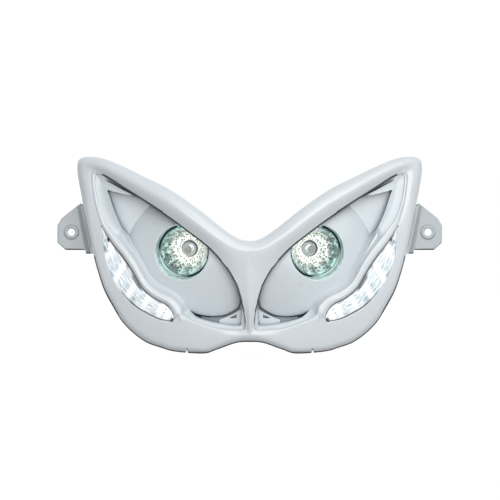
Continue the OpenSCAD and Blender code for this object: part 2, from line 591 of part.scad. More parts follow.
// Rear housing: a tub inside the mask's side wall
housing_gap = 0.6;
housing_front = 16;
housing_shoulder = 12;
housing_rings = [[0, 0], [0.6, 0], [2.5, 7], [5, 2.5], [8.5, 0.6], [12, 0]];
housing_side = concat([for (t = [chin_station : 1 / station_steps : len(stations) - 0.1]) t],
  [for (t = [0 : 1 / station_steps : brow_station]) t]);
function around(f) = concat(f, [for (i = [len(f) - 2 : -1 : 1]) [-f[i][0], f[i][1], f[i][2]]]);
function housing_point(t, k, w) = let (o = outer_edge(t), u = unit(o - crest(t)),
    p = o - (wall + housing_gap + housing_rings[k][0] + w) * u,
    back = housing_reach - w)
  [p[0], k == 0 ? face_y(o) + housing_front : k == 1 ? min(face_y(o) + skirt_depth, back - housing_shoulder)
    : back - housing_rings[k][1], p[1]];
function housing_ring(k, w) = around([for (t = housing_side) housing_point(t, k, w)]);
module housing_tub() {
  n = 2 * len(housing_side) - 2;
  last = len(housing_rings) - 1;
  rings = concat([for (k = [0 : last]) housing_ring(k, 0)],
    [for (k = [last : -1 : 0]) housing_ring(k, housing_wall)]);
  m = len(rings);
  polyhedron([for (ring = rings) each ring], concat(
    [for (i = [0 : m - 1]) if (i != last) for (j = [0 : n - 1])
      each quad(i * n + j, i * n + (j + 1) % n, (i + 1) % m * n + (j + 1) % n, (i + 1) % m * n + j, true)],
    [[for (j = [n - 1 : -1 : 0]) last * n + j], [for (j = [0 : n - 1]) (last + 1) * n + j]]),
    convexity = 6);
}
// Lamp access holes, each with a collar, where the lamp's axis meets the back
axis_reach = (housing_reach - lamp_face[1]) / lamp_axis[1];
access_at = [lamp_face[0] + axis_reach * lamp_axis[0], lamp_face[2] + axis_reach * lamp_axis[2]];
collar_height = 5;
collar_wall = 2.2;
gland_at = [0, -72];
gland_r = 6;
tower_r = 5;
tower_floor = 2.5;
tower_back = 0.5;
head_gap = 0.5;
module rear_housing() color("dimgray") {
  seats = [for (s = housing_screws_at) housing_seat(s) + clearance];
  spots = [for (s = housing_screws_at) place(s[0], s[1])];
  difference() {
    union() {
      housing_tub();
      both_sides() {
        post(access_at, housing_reach - 1, housing_reach + collar_height, access_r + collar_wall);
        for (i = [0 : 2]) post(spots[i], seats[i], housing_reach - tower_back, tower_r);
      }
      post(spots[3], seats[3], housing_reach - tower_back, tower_r);
    }
    both_sides() {
      post(access_at, housing_reach - housing_wall - 1, housing_reach + collar_height + 1, access_r);
      for (i = [0 : 2]) tower_bore(spots[i], seats[i]);
    }
    tower_bore(spots[3], seats[3]);
    post(gland_at, housing_reach - housing_wall - 1, housing_reach + 1, gland_r);
  }
}
module tower_bore(p, seat) {
  post(p, seat - 1, housing_reach + 1, pilot_r + screw_gap);
  post(p, seat + tower_floor, housing_reach + 1, screw_head_r + head_gap);
}
// Rubber cap over a collar, with a raised rim on its back
cap_wall = 2;
cap_skirt_gap = 0.5;
cap_rim_height = 1.5;
cap_rim_inset = [4, 6];
module dust_cap() let (inner = access_r + collar_wall + clearance, floor = collar_height + clearance,
    back = collar_height + cap_wall, rim = collar_height + cap_wall + cap_rim_height)
  color("black") translate([access_at[0], housing_reach, access_at[1]]) rotate([-90, 0, 0])
    rotate_extrude($fn = 96) polygon([[0, floor], [inner, floor], [inner, cap_skirt_gap],
      [inner + cap_wall, cap_skirt_gap], [inner + cap_wall, back], [access_r + collar_wall, rim],
      [access_r - cap_rim_inset[0], rim], [access_r - cap_rim_inset[1], back], [0, back]]);
// Rubber gland for the leads: a sleeve with a flange on each side of the housing's wall
gland_bore_r = 2.5;
gland_lip = 2;
gland_reach = 10;
module cable_grommet() let (flange = gland_r + gland_lip, inside = -housing_wall - clearance,
    neck = gland_r - clearance)
  color("black") translate([gland_at[0], housing_reach, gland_at[1]]) rotate([-90, 0, 0])
    rotate_extrude() polygon([[gland_bore_r, inside - gland_lip], [flange, inside - gland_lip],
      [flange, inside], [neck, inside], [neck, clearance], [flange, clearance],
      [flange - 1, clearance + gland_lip], [gland_r - 1, gland_reach], [gland_bore_r, gland_reach]]);

// Cross-headed screw: its head's seat is at a depth y, and it reaches forward from there
module screw(p, y, reach) {
  difference() {
    post(p, y, y + screw_head_h, screw_head_r);
    for (a = [0, 90]) translate([p[0], y + screw_head_h, p[1]]) rotate([0, a, 0])
      cube([cross_width, 2 * cross_depth, cross_slot], center = true);
  }
  post(p, y - reach, y + screw_head_h - cross_depth, screw_r);
}
module housing_screw(s) let (seat = housing_seat(s) + clearance + tower_floor + screw_gap)
  screw(place(s[0], s[1]), seat, seat - housing_seat(s) + housing_bite);
module eyeball_screw(s) let (seat = tab_y(s) + ball_wall + screw_gap)
  screw(place(s[0], s[1]), seat, seat - eyeball_seat(s) + eyeball_bite);
module housing_screws() color("silver") {
  both_sides() for (s = side_screws) housing_screw(s);
  housing_screw(nose_screw);
}
module eyeball_screws() color("silver") both_sides() for (s = eyeball_screws_at) eyeball_screw(s);

module right() mirror([1, 0, 0]) children();
fascia();
eye_bezel();  // left_eye_bezel
right() eye_bezel();  // right_eye_bezel
eyeball();  // left_eyeball
right() eyeball();  // right_eyeball
lamp_reflector();  // left_lamp_reflector
right() lamp_reflector();  // right_lamp_reflector
lamp_glass();  // left_lamp_glass
right() lamp_glass();  // right_lamp_glass
lamp_capsule();  // left_lamp_capsule
right() lamp_capsule();  // right_lamp_capsule
lamp_base();  // left_lamp_base
right() lamp_base();  // right_lamp_base
lamp_ring();  // left_lamp_ring
right() lamp_ring();  // right_lamp_ring
lamp_socket();  // left_lamp_socket
right() lamp_socket();  // right_lamp_socket
strip_lens();  // left_strip_lens
right() strip_lens();  // right_strip_lens
strip_tray();  // left_strip_tray
right() strip_tray();  // right_strip_tray
strip_board();  // left_strip_board
right() strip_board();  // right_strip_board
strip_chips();  // left_strip_chips
right() strip_chips();  // right_strip_chips
rear_housing();
dust_cap();  // left_dust_cap
right() dust_cap();  // right_dust_cap
cable_grommet();
housing_screws();
eyeball_screws();
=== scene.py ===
"""Looks of a twin-lamp scooter headlight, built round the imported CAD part.

Lengths are worked out in millimetres, in the part's own frame: +Z up, lamps towards -Y,
origin midway between the two ear holes on the ears' back face. `publish` turns them into
metres when a piece becomes an object.
"""

import math

import bmesh
import bpy
import numpy as np
from mathutils import Matrix, Vector


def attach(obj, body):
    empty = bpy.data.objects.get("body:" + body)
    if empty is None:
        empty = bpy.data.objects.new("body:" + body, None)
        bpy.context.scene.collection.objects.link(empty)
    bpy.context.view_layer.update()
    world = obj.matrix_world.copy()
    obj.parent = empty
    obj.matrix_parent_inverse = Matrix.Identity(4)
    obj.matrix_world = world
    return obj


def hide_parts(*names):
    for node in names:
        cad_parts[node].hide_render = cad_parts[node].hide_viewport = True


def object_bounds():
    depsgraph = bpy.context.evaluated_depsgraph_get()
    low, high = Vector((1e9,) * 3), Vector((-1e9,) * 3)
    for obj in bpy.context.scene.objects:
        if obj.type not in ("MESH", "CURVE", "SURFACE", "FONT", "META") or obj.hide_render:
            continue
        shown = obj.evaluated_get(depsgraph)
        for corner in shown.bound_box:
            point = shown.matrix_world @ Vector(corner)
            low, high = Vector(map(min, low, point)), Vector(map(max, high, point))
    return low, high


bl_info = {
    "name": "Twin-lamp headlight",
    "version": (1, 0, 0),
    "blender": (4, 5, 0),
    "location": "View3D > Sidebar > Headlight",
    "description": "Builds the visible skin, lamps, light strips and studio of a headlight",
    "category": "Object",
}

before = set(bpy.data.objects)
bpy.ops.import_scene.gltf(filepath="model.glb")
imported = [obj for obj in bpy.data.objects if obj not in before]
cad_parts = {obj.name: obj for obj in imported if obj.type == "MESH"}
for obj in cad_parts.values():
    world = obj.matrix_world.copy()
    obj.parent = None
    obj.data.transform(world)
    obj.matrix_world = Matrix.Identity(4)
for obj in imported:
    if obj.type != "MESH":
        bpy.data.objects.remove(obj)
cad_box = [list(map(float, corner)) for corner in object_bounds()]

MM = 0.001

# Measures of the part
# Places t count the stations round the left eye, from its outer corner along the brow.

# The mask: its wall, how far its nose reaches in front of the ears' back, how far its face
# sweeps back at the sides and leans back at top and bottom, its side wall's depth, the radii of
# roll and lip, the lip's depth, the heights of brow and bead, and the face's size and middle
WALL = 2.6
NOSE_REACH = 70.0
SWEEP_DEPTH = 37.0
LEAN_DEPTH = 7.0
SKIRT_DEPTH = 34.0
RIM_RADIUS = 6.0
LIP_RADIUS = 2.5
LIP_DEPTH = 5.0
BROW_HEIGHT = 6.0
BEAD_HEIGHT = 1.2
FACE_HALF_WIDTH = 170.0
FACE_HALF_HEIGHT = 95.0
FACE_MIDDLE_Z = -20.0

# Eye edge x and z, outer edge x and z, and the crest's share of the brow's height
STATIONS = np.array([
    (-157, 60, -175, 76, 0.45), (-148, 57, -159, 78, 0.7), (-132, 47, -139, 72, 0.9),
    (-108, 32, -111, 59, 1), (-84, 16, -81, 44, 1), (-61, -1, -52, 24, 0.95),
    (-41, -17, -29, 6, 0.85), (-24, -36, -13, -5, 0.7), (-14, -53, 0, -8, 0.6),
    (-12, -59, 0, -26, 0.5), (-10, -66, 0, -42, 0.45), (-8, -74, 0, -58, 0.4),
    (-6, -83, 0, -76, 0.4), (-5, -91, 0, -92, 0.4), (-6, -99, 0, -112, 0.3),
    (-18, -99, -14, -113, 0.15), (-36, -97, -34, -120, 0.15), (-51, -92, -48, -124, 0.15),
    (-67, -85, -77, -122, 0.15), (-71, -75, -92, -118, 0.15), (-80, -66, -106, -113, 0.15),
    (-94, -59, -119, -104, 0.15), (-106, -49, -131, -92, 0.15), (-116, -31, -141, -76, 0.15),
    (-127, -15, -150, -59, 0.15), (-139, 0, -157, -38, 0.15), (-149, 14, -163, -15, 0.15),
    (-155, 29, -169, 13, 0.15), (-158, 44, -174, 40, 0.2), (-159, 54, -178, 64, 0.3)], float)
# Stations at the middle of brow and chin, and at the ends of the light strip's window
BROW, CHIN = 8, 14
STRIP_FROM, STRIP_TO = 19, 26
# Near and far side of the window, as shares of the way from the lip to the crest
STRIP_WINDOW = np.array([
    (0.24, 0.42), (0.15, 0.53), (0.145, 0.57), (0.14, 0.64),
    (0.15, 0.74), (0.16, 0.75), (0.2, 0.68), (0.225, 0.285)])
PLAIN_SHARES = np.array([0.2, 0.6])
STRIP_END_LENGTH = 0.32
# Notch in the chin's edge: its place t, half its length in t, and its height
NOTCH_T = 17.57
NOTCH_HALF = 0.045
NOTCH_RISE = 3.2

# Painted shadow line on the eye's lip: from a place t to another with a width, and how far back it goes
LIP_SHADE_EDGES = ((0.75, 6.6, 1.9), (6.6, 11.6, 1.4), (11.6, 13.1, 0.9))
LIP_SHADE_DEPTH = 2.7
# Where the bead fades in between the chin and the strip, and over how much of t
BEAD_FROM, BEAD_FADE = 17.7, 1.2
# Painted shadow stripe on the back of the roll: places t, width, depth, top and length of its taper
RIM_FROM, RIM_TO = 14.0, 25.6
RIM_SHADE_WIDTH = 1.5
RIM_SHADE_DEPTH = 6.5
RIM_SHADE_TOP, RIM_SHADE_TAPER = -14.0, 20.0
# Heights under which the ear and its flare carry painted shadow, and the x that parts the two
EAR_LOW_EDGE, FLARE_LOW_EDGE = -17.2, -20.7
FLARE_X = -171.0
# Gap below the dome, whose shadow is painted on the plate: its corner, the end of its tip and of its dark
# line, the line's width, and how far the plate's near part reaches
GAP_X, GAP_Z = -66.0, -76.0
GAP_TIP_X, GAP_DARK_X = -50.0, -41.0
GAP_LINE = 1.8
GAP_NEAR = 4.5

# Ear: its hole, thickness and fillet, the boss's width and height, its corners as seen from the
# hole, their radius, and the places t between which it meets the side wall
EAR_HOLE = np.array([-184.5, 0.0])
EAR_HOLE_R = 3.75
EAR_THICK = 3.5
EAR_FILLET = 8.0
EAR_BOSS = (3.6, 1.4)
EAR_CORNERS = np.array([(9.5, 30), (-10, 14.5), (-14.5, 7), (-14.5, -11), (-6, -18.5), (20, -18.5)], float)
EAR_CORNER_R = 4.0
EAR_FROM, EAR_TO = 25.7, 27.5

# Bezel behind the eye opening: inner edge x and z, lap, back wall share, plate margin
BEZEL_ROWS = np.array([
    (-146, 44, 3, 1, 3), (-141, 42.5, 3, 1, 3), (-131, 40, 4, 1, 4), (-110, 34.5, 6, 0, 4.5),
    (-86, 19.5, 8, 0, 8), (-62.5, 1.5, 8, 0, 10.5), (-42, -14.5, 6, 0, 7), (-24, -33, 6, 0, 5),
    (-13, -51, 5, 0, 4), (-11, -58, 4.5, 0, 4), (-9, -65.5, 4, 0, 3.5), (-8, -74, 3.5, 0, 3),
    (-8, -83, 3, 1, 3), (-8.5, -90, 3, 1, 3), (-9.5, -94.5, 3, 1, 3), (-19, -94.5, 3, 1, 3),
    (-36, -91.5, 3, 1, 3), (-51, -87.5, 3, 1, 3), (-63, -80.5, 3, 1, 3), (-68, -71.5, 3, 1, 3),
    (-79, -62, 3, 1, 3), (-92, -55, 3, 1, 3), (-102, -46, 3, 1, 3), (-111, -30, 3, 1, 3),
    (-122, -12, 3, 1, 3), (-132, 6, 3, 1, 3), (-138, 19, 3, 1, 3), (-142, 30, 3, 1, 3),
    (-144.5, 38, 3, 1, 3), (-146, 42, 3, 1, 3)], float)
# Places t, each with the length of its fade: between which the bezel joins the dome, after and
# before which it lies flush with the mask, and between which it has a trench
BEZEL_JOINS = (17.2, 0.8, 25.0, 0.7)
BEZEL_FLUSH = (13.5, 0.8, 3.6, 0.9)
BEZEL_TRENCH = (0.5, 0.7, 3.6, 0.8)
TRENCH_DEPTH = 3.2
BEZEL_WALL = 1.8
BEZEL_STEP = 1.2
CLEARANCE = 0.3
# Web with its three-cornered window below the dome, its depth behind the face and thickness
WEB_CORNERS = np.array([(-31, -95), (-7.5, -96.5), (-7, -79.5), (-10.5, -79.5), (-15, -82.5),
                        (-25, -87), (-31, -89)], float)
WEB_WINDOW = np.array([(-21.5, -87.5), (-13.5, -83.5), (-13.5, -87.5)])
WEB_DEPTH = 13.0
WEB_THICK = 1.5

# Eyeball: its sphere, wall, height over its plate and middle, the plate's turn and setback, and
# the dome's outline
BALL_RADIUS = 174.0
BALL_WALL = 2.5
BALL_HEIGHT = 17.0
BALL_AT = np.array([-55.0, -30.0])
PLATE_YAW = math.radians(8)
PLATE_SETBACK = 29.5
BALL_EDGE = np.array([
    (-140, 26), (-137, 33), (-124, 37), (-108, 36), (-82, 24), (-55, 8.5), (-38, -12),
    (-21.5, -33.5), (-12.5, -51), (-8.5, -65), (-9.5, -72.5), (-12.5, -77.5), (-24, -84),
    (-35, -85.5), (-45, -85), (-56, -82.5), (-62, -78.5), (-67, -69.5), (-78, -60), (-91, -53),
    (-101, -44), (-109.5, -29), (-120.5, -11), (-130.5, 7), (-136.5, 19)], float)

# Lamp: radius, how deep it sits in its bore, its turn outwards and its dip, its bore, and where
# the bore's mouth is on the dome
LAMP_R = 25.0
LAMP_RECESS = 15.0
LAMP_YAW = math.radians(12)
LAMP_DIP = math.radians(5)
LAMP_GAP = 0.4
BORE_R = 28.0
MOUTH_AT = np.array([-70.0, -20.0])
# Front glass, mirror, base, capsule and spring ring, whose gap is an angle in degrees
GLASS_THICK = 1.5
GLASS_SEAT = 0.8
SHELL_THICK = 1.6
NECK_R = 8.3
NECK_DEPTH = 24.0
BASE_DEPTH = 27.0
SEAT_R = LAMP_R - 1.6
RIM_THICK = 3.0
CAPSULE_R = 4.0
CAPSULE_FRONT = 11.0
RING_WIRE_R = 1.1
RING_OPEN = 30.0

# Light strip: its cover, tray, chips and board, with their depths below the face
LENS_THICK = 2.5
LENS_CROWN = 0.6
STRIP_LAP = 2.0
STRIP_INSET = 0.04
TRAY_DEPTH = 11.0
TRAY_WALL = 1.2
CHIP_SIDE = 5.0
CHIP_COUNT = 6
CHIP_FIRST, CHIP_LAST = 19.9, 25.1
# Fine strokes along and across the cover, flecks round and along the mirror, and the middle
# and radius of the part of the capsule's seat that its painted shade leaves out
LENS_STROKES = (12, 30)
FLECKS_ROUND = 36
FLECK_ROWS = 11
SEAT_SHADE_AT = (-0.7, -0.6)
SEAT_SHADE_R = 7.4
BOARD_THICK = 1.2
CHIP_THICK = 1.6
FLANGE_FRONT = WALL + CLEARANCE
FLANGE_BACK = FLANGE_FRONT + 1.5
TRAY_FRONT = FLANGE_BACK + CLEARANCE
TRAY_FLOOR = TRAY_FRONT + TRAY_DEPTH - TRAY_WALL

# Studio, in metres. The floor: half its side, how far it lies below the part, its tone to the
# lights and to light thrown back from the part, and the strength and share of its own white
FLOOR_HALF = 40.0
FLOOR_GAP = 0.0002
FLOOR_TONE, FLOOR_BOUNCE = 0.86, 0.25
FLOOR_WHITE, FLOOR_SHARE = 1.13, 0.86
# The room: its tint, and its strength where it is seen. The two lights: place and size
ROOM_TINT = (0.96, 0.98, 1.0, 1)
ROOM_SEEN = 1.06
SOFTBOX = ((0.6, -1.25, 0.9), (1.6, 1.1))
FILL = ((0.3, -2.2, -0.25), (2.8, 2.0))
STAGE_MIDDLE = (0.0003, -0.03, -0.018)


# Curves and frames

def unit(v):
    """Vectors scaled to length one, along their last axis."""
    return v / np.linalg.norm(v, axis=-1, keepdims=True)


def mix(a, b, f):
    """Straight blend from a to b at share f."""
    return a + (b - a) * f


def smoothstep(f):
    """S curve 3f^2 - 2f^3 on a share held between nought and one."""
    f = np.clip(f, 0, 1)
    return f * f * (3 - 2 * f)


def rise_and_fall(t, start, up, end, down):
    """One between two places, with S curves of the lengths up and down at its ends."""
    return smoothstep((t - start) / up) * smoothstep((end - t) / down)


def catmull(a, b, c, d, f):
    """Catmull-Rom cubic through b and c, with a and d as its neighbours."""
    return 0.5 * (2 * b + (c - a) * f + (2 * a - 5 * b + 4 * c - d) * f * f
                  + (3 * b - a - 3 * c + d) * f ** 3)


def closed_curve(points, t):
    """Catmull-Rom curve through a closed row of points, one point for each whole t."""
    i = np.floor(t).astype(int)
    n = len(points)
    f = (t - i).reshape((-1,) + (1,) * (points.ndim - 1))
    return catmull(points[(i - 1) % n], points[i % n], points[(i + 1) % n], points[(i + 2) % n], f)


def open_curve(values, t):
    """Catmull-Rom curve through a row whose end values are repeated."""
    last = len(values) - 1
    i = np.clip(np.floor(t).astype(int), 0, last - 1)
    f = t - i
    if values.ndim > 1:
        f = f[:, None]
    return catmull(values[np.maximum(i - 1, 0)], values[i], values[i + 1],
                   values[np.minimum(i + 2, last)], f)


def face_y(p):
    """Middle surface of the face: a parabola across plus a parabola up, from the nose's reach."""
    return (-NOSE_REACH + SWEEP_DEPTH * (p[..., 0] / FACE_HALF_WIDTH) ** 2
            + LEAN_DEPTH * ((p[..., 1] - FACE_MIDDLE_Z) / FACE_HALF_HEIGHT) ** 2)


def at(p, h):
    """Point of the frame over the flat place p, h in front of the face's middle surface."""
    h = np.broadcast_to(h, p.shape[:-1])
    return np.stack([p[..., 0], face_y(p) - h, p[..., 1]], -1)


def flip(p):
    """Flat place on the other side of the plane of symmetry."""
    return p * np.array([-1.0, 1.0])


class Stations:
    """The face's sections at the places t, each worked out by its curve.

    eye and outer are Catmull-Rom curves through the rows; crest lies in from the outer edge
    by the roll, and on the plane of symmetry between the brow and the chin; a and b are the
    distances from the eye at which the light strip's window begins and ends.
    """

    def __init__(self, t):
        t = np.asarray(t, float)
        n = len(STATIONS)
        i = np.floor(t + 1e-9).astype(int) % n
        f = (t - np.floor(t + 1e-9))[:, None]
        outer_rows = STATIONS[:, 2:4]
        self.t = t
        self.eye = closed_curve(STATIONS[:, :2], t)
        before = np.where((i == CHIN)[:, None], flip(outer_rows[(i + 1) % n]), outer_rows[(i - 1) % n])
        after = np.where((i == BROW - 1)[:, None], flip(outer_rows[i]), outer_rows[(i + 2) % n])
        self.outer = catmull(before, outer_rows[i], outer_rows[(i + 1) % n], after, f)
        self.rise = BROW_HEIGHT * closed_curve(STATIONS[:, 4], t)
        self.radius = RIM_RADIUS + self.rise
        raw = self.outer - self.radius[:, None] * unit(self.outer - self.eye + 1e-9)
        self.nose = (t > BROW - 1e-9) & (t < CHIN + 1e-9)
        ends = [RIM_RADIUS + BROW_HEIGHT * STATIONS[k, 4] for k in (BROW, CHIN)]
        heights = outer_rows[BROW:CHIN + 1, 1].copy()
        heights[0] -= ends[0]
        heights[-1] += ends[1]
        on_nose = np.stack([0 * t, open_curve(heights, np.clip(t - BROW, 0, CHIN - BROW))], -1)
        top = np.array([0, heights[0]]) - self.raw_end(BROW, ends[0])
        low = np.array([0, heights[-1]]) - self.raw_end(CHIN, ends[1])
        turn = smoothstep(t - (BROW - 1))[:, None] * (t <= BROW)[:, None]
        back = smoothstep(CHIN + 1 - t)[:, None] * (t >= CHIN)[:, None]
        self.crest = np.where(self.nose[:, None], on_nose, raw + turn * top + back * low)
        self.u = unit(self.crest - self.eye)
        self.length = np.linalg.norm(self.crest - self.eye, axis=-1)
        out = self.outer - self.crest
        side = np.where(t < (BROW + CHIN) / 2, 1.0, -1.0)
        upright = np.stack([0 * t, side], -1)
        reach = np.linalg.norm(out, axis=-1)
        self.out = np.where(self.nose[:, None], upright, out / np.maximum(reach, 1e-6)[:, None])
        self.reach = np.where(self.nose, self.radius, reach)
        inside = open_curve(STRIP_WINDOW, np.clip(t - STRIP_FROM, 0, STRIP_TO - STRIP_FROM))
        away = np.maximum(STRIP_FROM - t, t - STRIP_TO)
        shares = mix(inside, PLAIN_SHARES, smoothstep(away)[:, None])
        near = np.clip((t - STRIP_FROM) / STRIP_END_LENGTH, 0.03, 1)
        near = np.where(t < STRIP_FROM - 1e-6, 1, near)
        half = (shares[:, 1] - shares[:, 0]) / 2 * np.sqrt(1 - (1 - near) ** 2)
        middle = shares.mean(1) + 0.03 * (1 - near)
        self.a, self.b = (mix(LIP_RADIUS, self.length, middle + sign * half) for sign in (-1, 1))
        self.notch = NOTCH_RISE * np.maximum(0, 1 - np.abs(t - NOTCH_T) / NOTCH_HALF)

    @staticmethod
    def raw_end(k, radius):
        """Crest of a station as if it were not on the plane of symmetry."""
        outer, eye = STATIONS[k, 2:4], STATIONS[k, :2]
        return outer - radius * unit(outer - eye)

    def place(self, r):
        """Flat place on the crown at distance r from the eye's edge."""
        return self.eye[:, None] + r[..., None] * self.u[:, None]

    def swell(self, r):
        """Height of the crown without its bead: a quarter sine from the lip to the crest."""
        f = np.maximum(r - LIP_RADIUS, 0) / (self.length - LIP_RADIUS)[:, None]
        return self.rise[:, None] * np.sin(np.pi / 2 * np.minimum(f, 1))

    def bead(self, r):
        """Height of the bead: a squared sine between the lip and the window's near side.

        It fades out under the brow and beside the nose.
        """
        f = (r - LIP_RADIUS) / (self.a - LIP_RADIUS)[:, None]
        away = smoothstep((self.t - BEAD_FROM) / BEAD_FADE) + smoothstep(1 - self.t)
        height = BEAD_HEIGHT * np.clip(away, 0, 1)[:, None]
        return np.where((f > 0) & (f < 1), height * np.sin(np.pi * f) ** 2, 0)

    def crown(self, r, d):
        """Crown's skin with its bead at distance r from the eye, d below its surface."""
        return at(self.place(r), self.swell(r) + self.bead(r) - d)

    def under(self, r, d):
        """The same without the bead, which the strip's parts follow."""
        return at(self.place(r), self.swell(r) - d)

    def roll(self, angle, d):
        """Outer edge's quarter circle at an angle from the crest, d below its skin."""
        r = self.radius[:, None]
        reach = (self.reach - self.notch)[:, None]
        p = self.crest[:, None] + ((reach - d) * np.sin(angle))[..., None] * self.out[:, None]
        return at(p, self.rise[:, None] - r + (r - d) * np.cos(angle))

    def skirt(self, d, h):
        """Side wall's end, d in from the outer edge and h above its back."""
        p = self.outer - (d + self.notch)[:, None] * self.out
        return at(p[:, None], np.full((1, 1), h - SKIRT_DEPTH))


def turn_x(angle):
    """Matrix that turns by an angle round the first axis."""
    c, s = math.cos(angle), math.sin(angle)
    return np.array([[1, 0, 0], [0, c, -s], [0, s, c]])


def turn_z(angle):
    """Matrix that turns by an angle round the third axis."""
    c, s = math.cos(angle), math.sin(angle)
    return np.array([[c, -s, 0], [s, c, 0], [0, 0, 1]])


def plate_y(x):
    """Depth of the eyeball's plate, which turns towards the outside."""
    return PLATE_SETBACK - NOSE_REACH - math.tan(PLATE_YAW) * (x - BALL_AT[0])


PLATE_TURN = turn_z(-PLATE_YAW) @ turn_x(math.pi / 2)
PLATE_FROM = np.array([BALL_AT[0], plate_y(BALL_AT[0]), BALL_AT[1]])
mouth_on_plate = np.array([(MOUTH_AT[0] - BALL_AT[0]) / math.cos(PLATE_YAW), MOUTH_AT[1] - BALL_AT[1]])
mouth_rise = math.sqrt(BALL_RADIUS ** 2 - mouth_on_plate @ mouth_on_plate) - BALL_RADIUS + BALL_HEIGHT
MOUTH = np.array([MOUTH_AT[0], plate_y(MOUTH_AT[0]) - mouth_rise / math.cos(PLATE_YAW), MOUTH_AT[1]])
LAMP_TURN = turn_z(-LAMP_YAW) @ turn_x(math.pi / 2 + LAMP_DIP)
LAMP_FACE = MOUTH - LAMP_RECESS * LAMP_TURN[:, 2]


def to_lamp(points):
    """Points given in the lamp's own frame, its axis along the third number, put in place."""
    return LAMP_FACE + points @ LAMP_TURN.T


def to_plate(points):
    """Points given in the eyeball plate's own frame, put in place."""
    return PLATE_FROM + points @ PLATE_TURN.T


# Meshes

def grid_faces(m, n, close_m, close_n, keep=None):
    """Quads of a grid of m rows and n columns, row and column ends joined where asked."""
    i, j = np.meshgrid(np.arange(m if close_m else m - 1), np.arange(n if close_n else n - 1),
                       indexing="ij")
    i2, j2 = (i + 1) % m, (j + 1) % n
    quads = np.stack([i * n + j, i * n + j2, i2 * n + j2, i2 * n + j], -1)
    return (quads if keep is None else quads[keep]).reshape(-1, 4)


def volume(points, faces):
    """Signed volume inside closed faces: a sixth of the sum of a . (b x c) over their fans."""
    total = 0.0
    for group in faces:
        corners = points[np.asarray(group)]
        for k in range(1, corners.shape[1] - 1):
            total += np.einsum("ij,ij->i", corners[:, 0],
                               np.cross(corners[:, k], corners[:, k + 1])).sum()
    return total / 6


def outward(points, faces):
    """The same closed shape with its faces turned outwards."""
    faces = [np.asarray(group) for group in faces]
    if volume(points, faces) < 0:
        faces = [group[:, ::-1] for group in faces]
    return points, faces


def loft(rings, closed=False):
    """Solid skinned over rings (m, n, 3) of n points, its ends capped unless it is a loop."""
    m, n = rings.shape[:2]
    faces = [grid_faces(m, n, closed, True)]
    if not closed:
        faces += [np.arange(n - 1, -1, -1)[None], (m - 1) * n + np.arange(n)[None]]
    return outward(rings.reshape(-1, 3), faces)


def lathe(profile, place, steps=96):
    """Solid turned round the third axis: each profile point (r, h) becomes a circle.

    Points of radius nought make poles, merged into one vertex when published.
    """
    angle = np.linspace(0, 2 * math.pi, steps, endpoint=False)
    r, h = profile[:, 0], profile[:, 1]
    rings = np.stack([np.outer(np.cos(angle), r), np.outer(np.sin(angle), r),
                      np.tile(h, (steps, 1))], -1)
    return outward(place(rings.reshape(-1, 3)), [grid_faces(steps, len(profile), True, True)])


def joined(*parts):
    """Several closed shapes as one row of points and one row of face groups."""
    points, faces, start = [], [], 0
    for p, groups in parts:
        points.append(p)
        faces += [group + start for group in groups]
        start += len(p)
    return np.concatenate(points), faces


def mirrored(part):
    """The same shape on the other side of the plane of symmetry, faces still outwards."""
    points, faces = part
    return points * np.array([-1.0, 1.0, 1.0]), [group[:, ::-1] for group in faces]


def publish(name, part, material, slot, nodes, angle=30.0, attribute=None, more=None):
    """Makes the object, in metres, merges seams and poles, and lets it stand for its nodes.

    Faces that meet at less than the angle, in degrees, are shaded smoothly, and none at nought.
    Points are held inside the CAD part's box.
    more holds further materials, and the function that gives each face's material by its centre.
    """
    points, faces = part
    points = np.clip(points, np.array(cad_box[0]) / MM, np.array(cad_box[1]) / MM)
    mesh = bpy.data.meshes.new(name)
    mesh.from_pydata((points * MM).tolist(), [], [f for group in faces for f in group.tolist()])
    if attribute is not None:
        layer = mesh.attributes.new("piece_place", "FLOAT_VECTOR", "POINT")
        layer.data.foreach_set("vector", attribute.astype(np.float32).ravel())
    work = bmesh.new()
    work.from_mesh(mesh)
    bmesh.ops.remove_doubles(work, verts=work.verts, dist=2e-6)
    bmesh.ops.dissolve_degenerate(work, edges=work.edges, dist=1e-7)
    work.to_mesh(mesh)
    work.free()
    mesh.polygons.foreach_set("use_smooth", np.full(len(mesh.polygons), angle > 0))
    if angle > 0:
        mesh.set_sharp_from_angle(angle=math.radians(angle))
    mesh.materials.append(material)
    if more is not None:
        others, chosen = more
        for other in others:
            mesh.materials.append(other)
        centres = np.empty(3 * len(mesh.polygons), np.float32)
        mesh.polygons.foreach_get("center", centres)
        mesh.polygons.foreach_set("material_index", chosen(centres.reshape(-1, 3) / MM).astype(np.int32))
    mesh.validate()
    piece = bpy.data.objects.new(name, mesh)
    bpy.context.scene.collection.objects.link(piece)
    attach(piece, "root")
    if nodes:
        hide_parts(*nodes)
    return piece


def publish_pair(name, part, material, slot, node, **options):
    """The left piece and its mirror image, each standing for its own side's node."""
    for side, shape in (("left", part), ("right", mirrored(part))):
        nodes = [f"{side}_{node}"] if node else []
        chosen = material[side] if isinstance(material, dict) else material
        publish(f"{side}_{name}", shape, chosen, slot, nodes, **options)


def on_left(centres):
    """The same places brought to the left side of the plane of symmetry."""
    return centres * np.where(centres[:, :1] > 0, np.array([[-1.0, 1, 1]]), 1.0)


def close_to(flat, edge, reach):
    """Which flat places lie within reach of a line through the points of an edge."""
    chosen = np.zeros(len(flat), bool)
    close = np.all((flat > edge.min(0) - reach) & (flat < edge.max(0) + reach), 1)
    where = np.flatnonzero(close)
    a, step = edge[:-1], edge[1:] - edge[:-1]
    for part in np.array_split(where, max(1, len(where) // 4000)):
        p = flat[part][:, None] - a[None]
        f = np.clip((p * step).sum(-1) / (step ** 2).sum(-1), 0, 1)
        chosen[part] = np.linalg.norm(p - f[..., None] * step, axis=-1).min(1) < reach
    return chosen


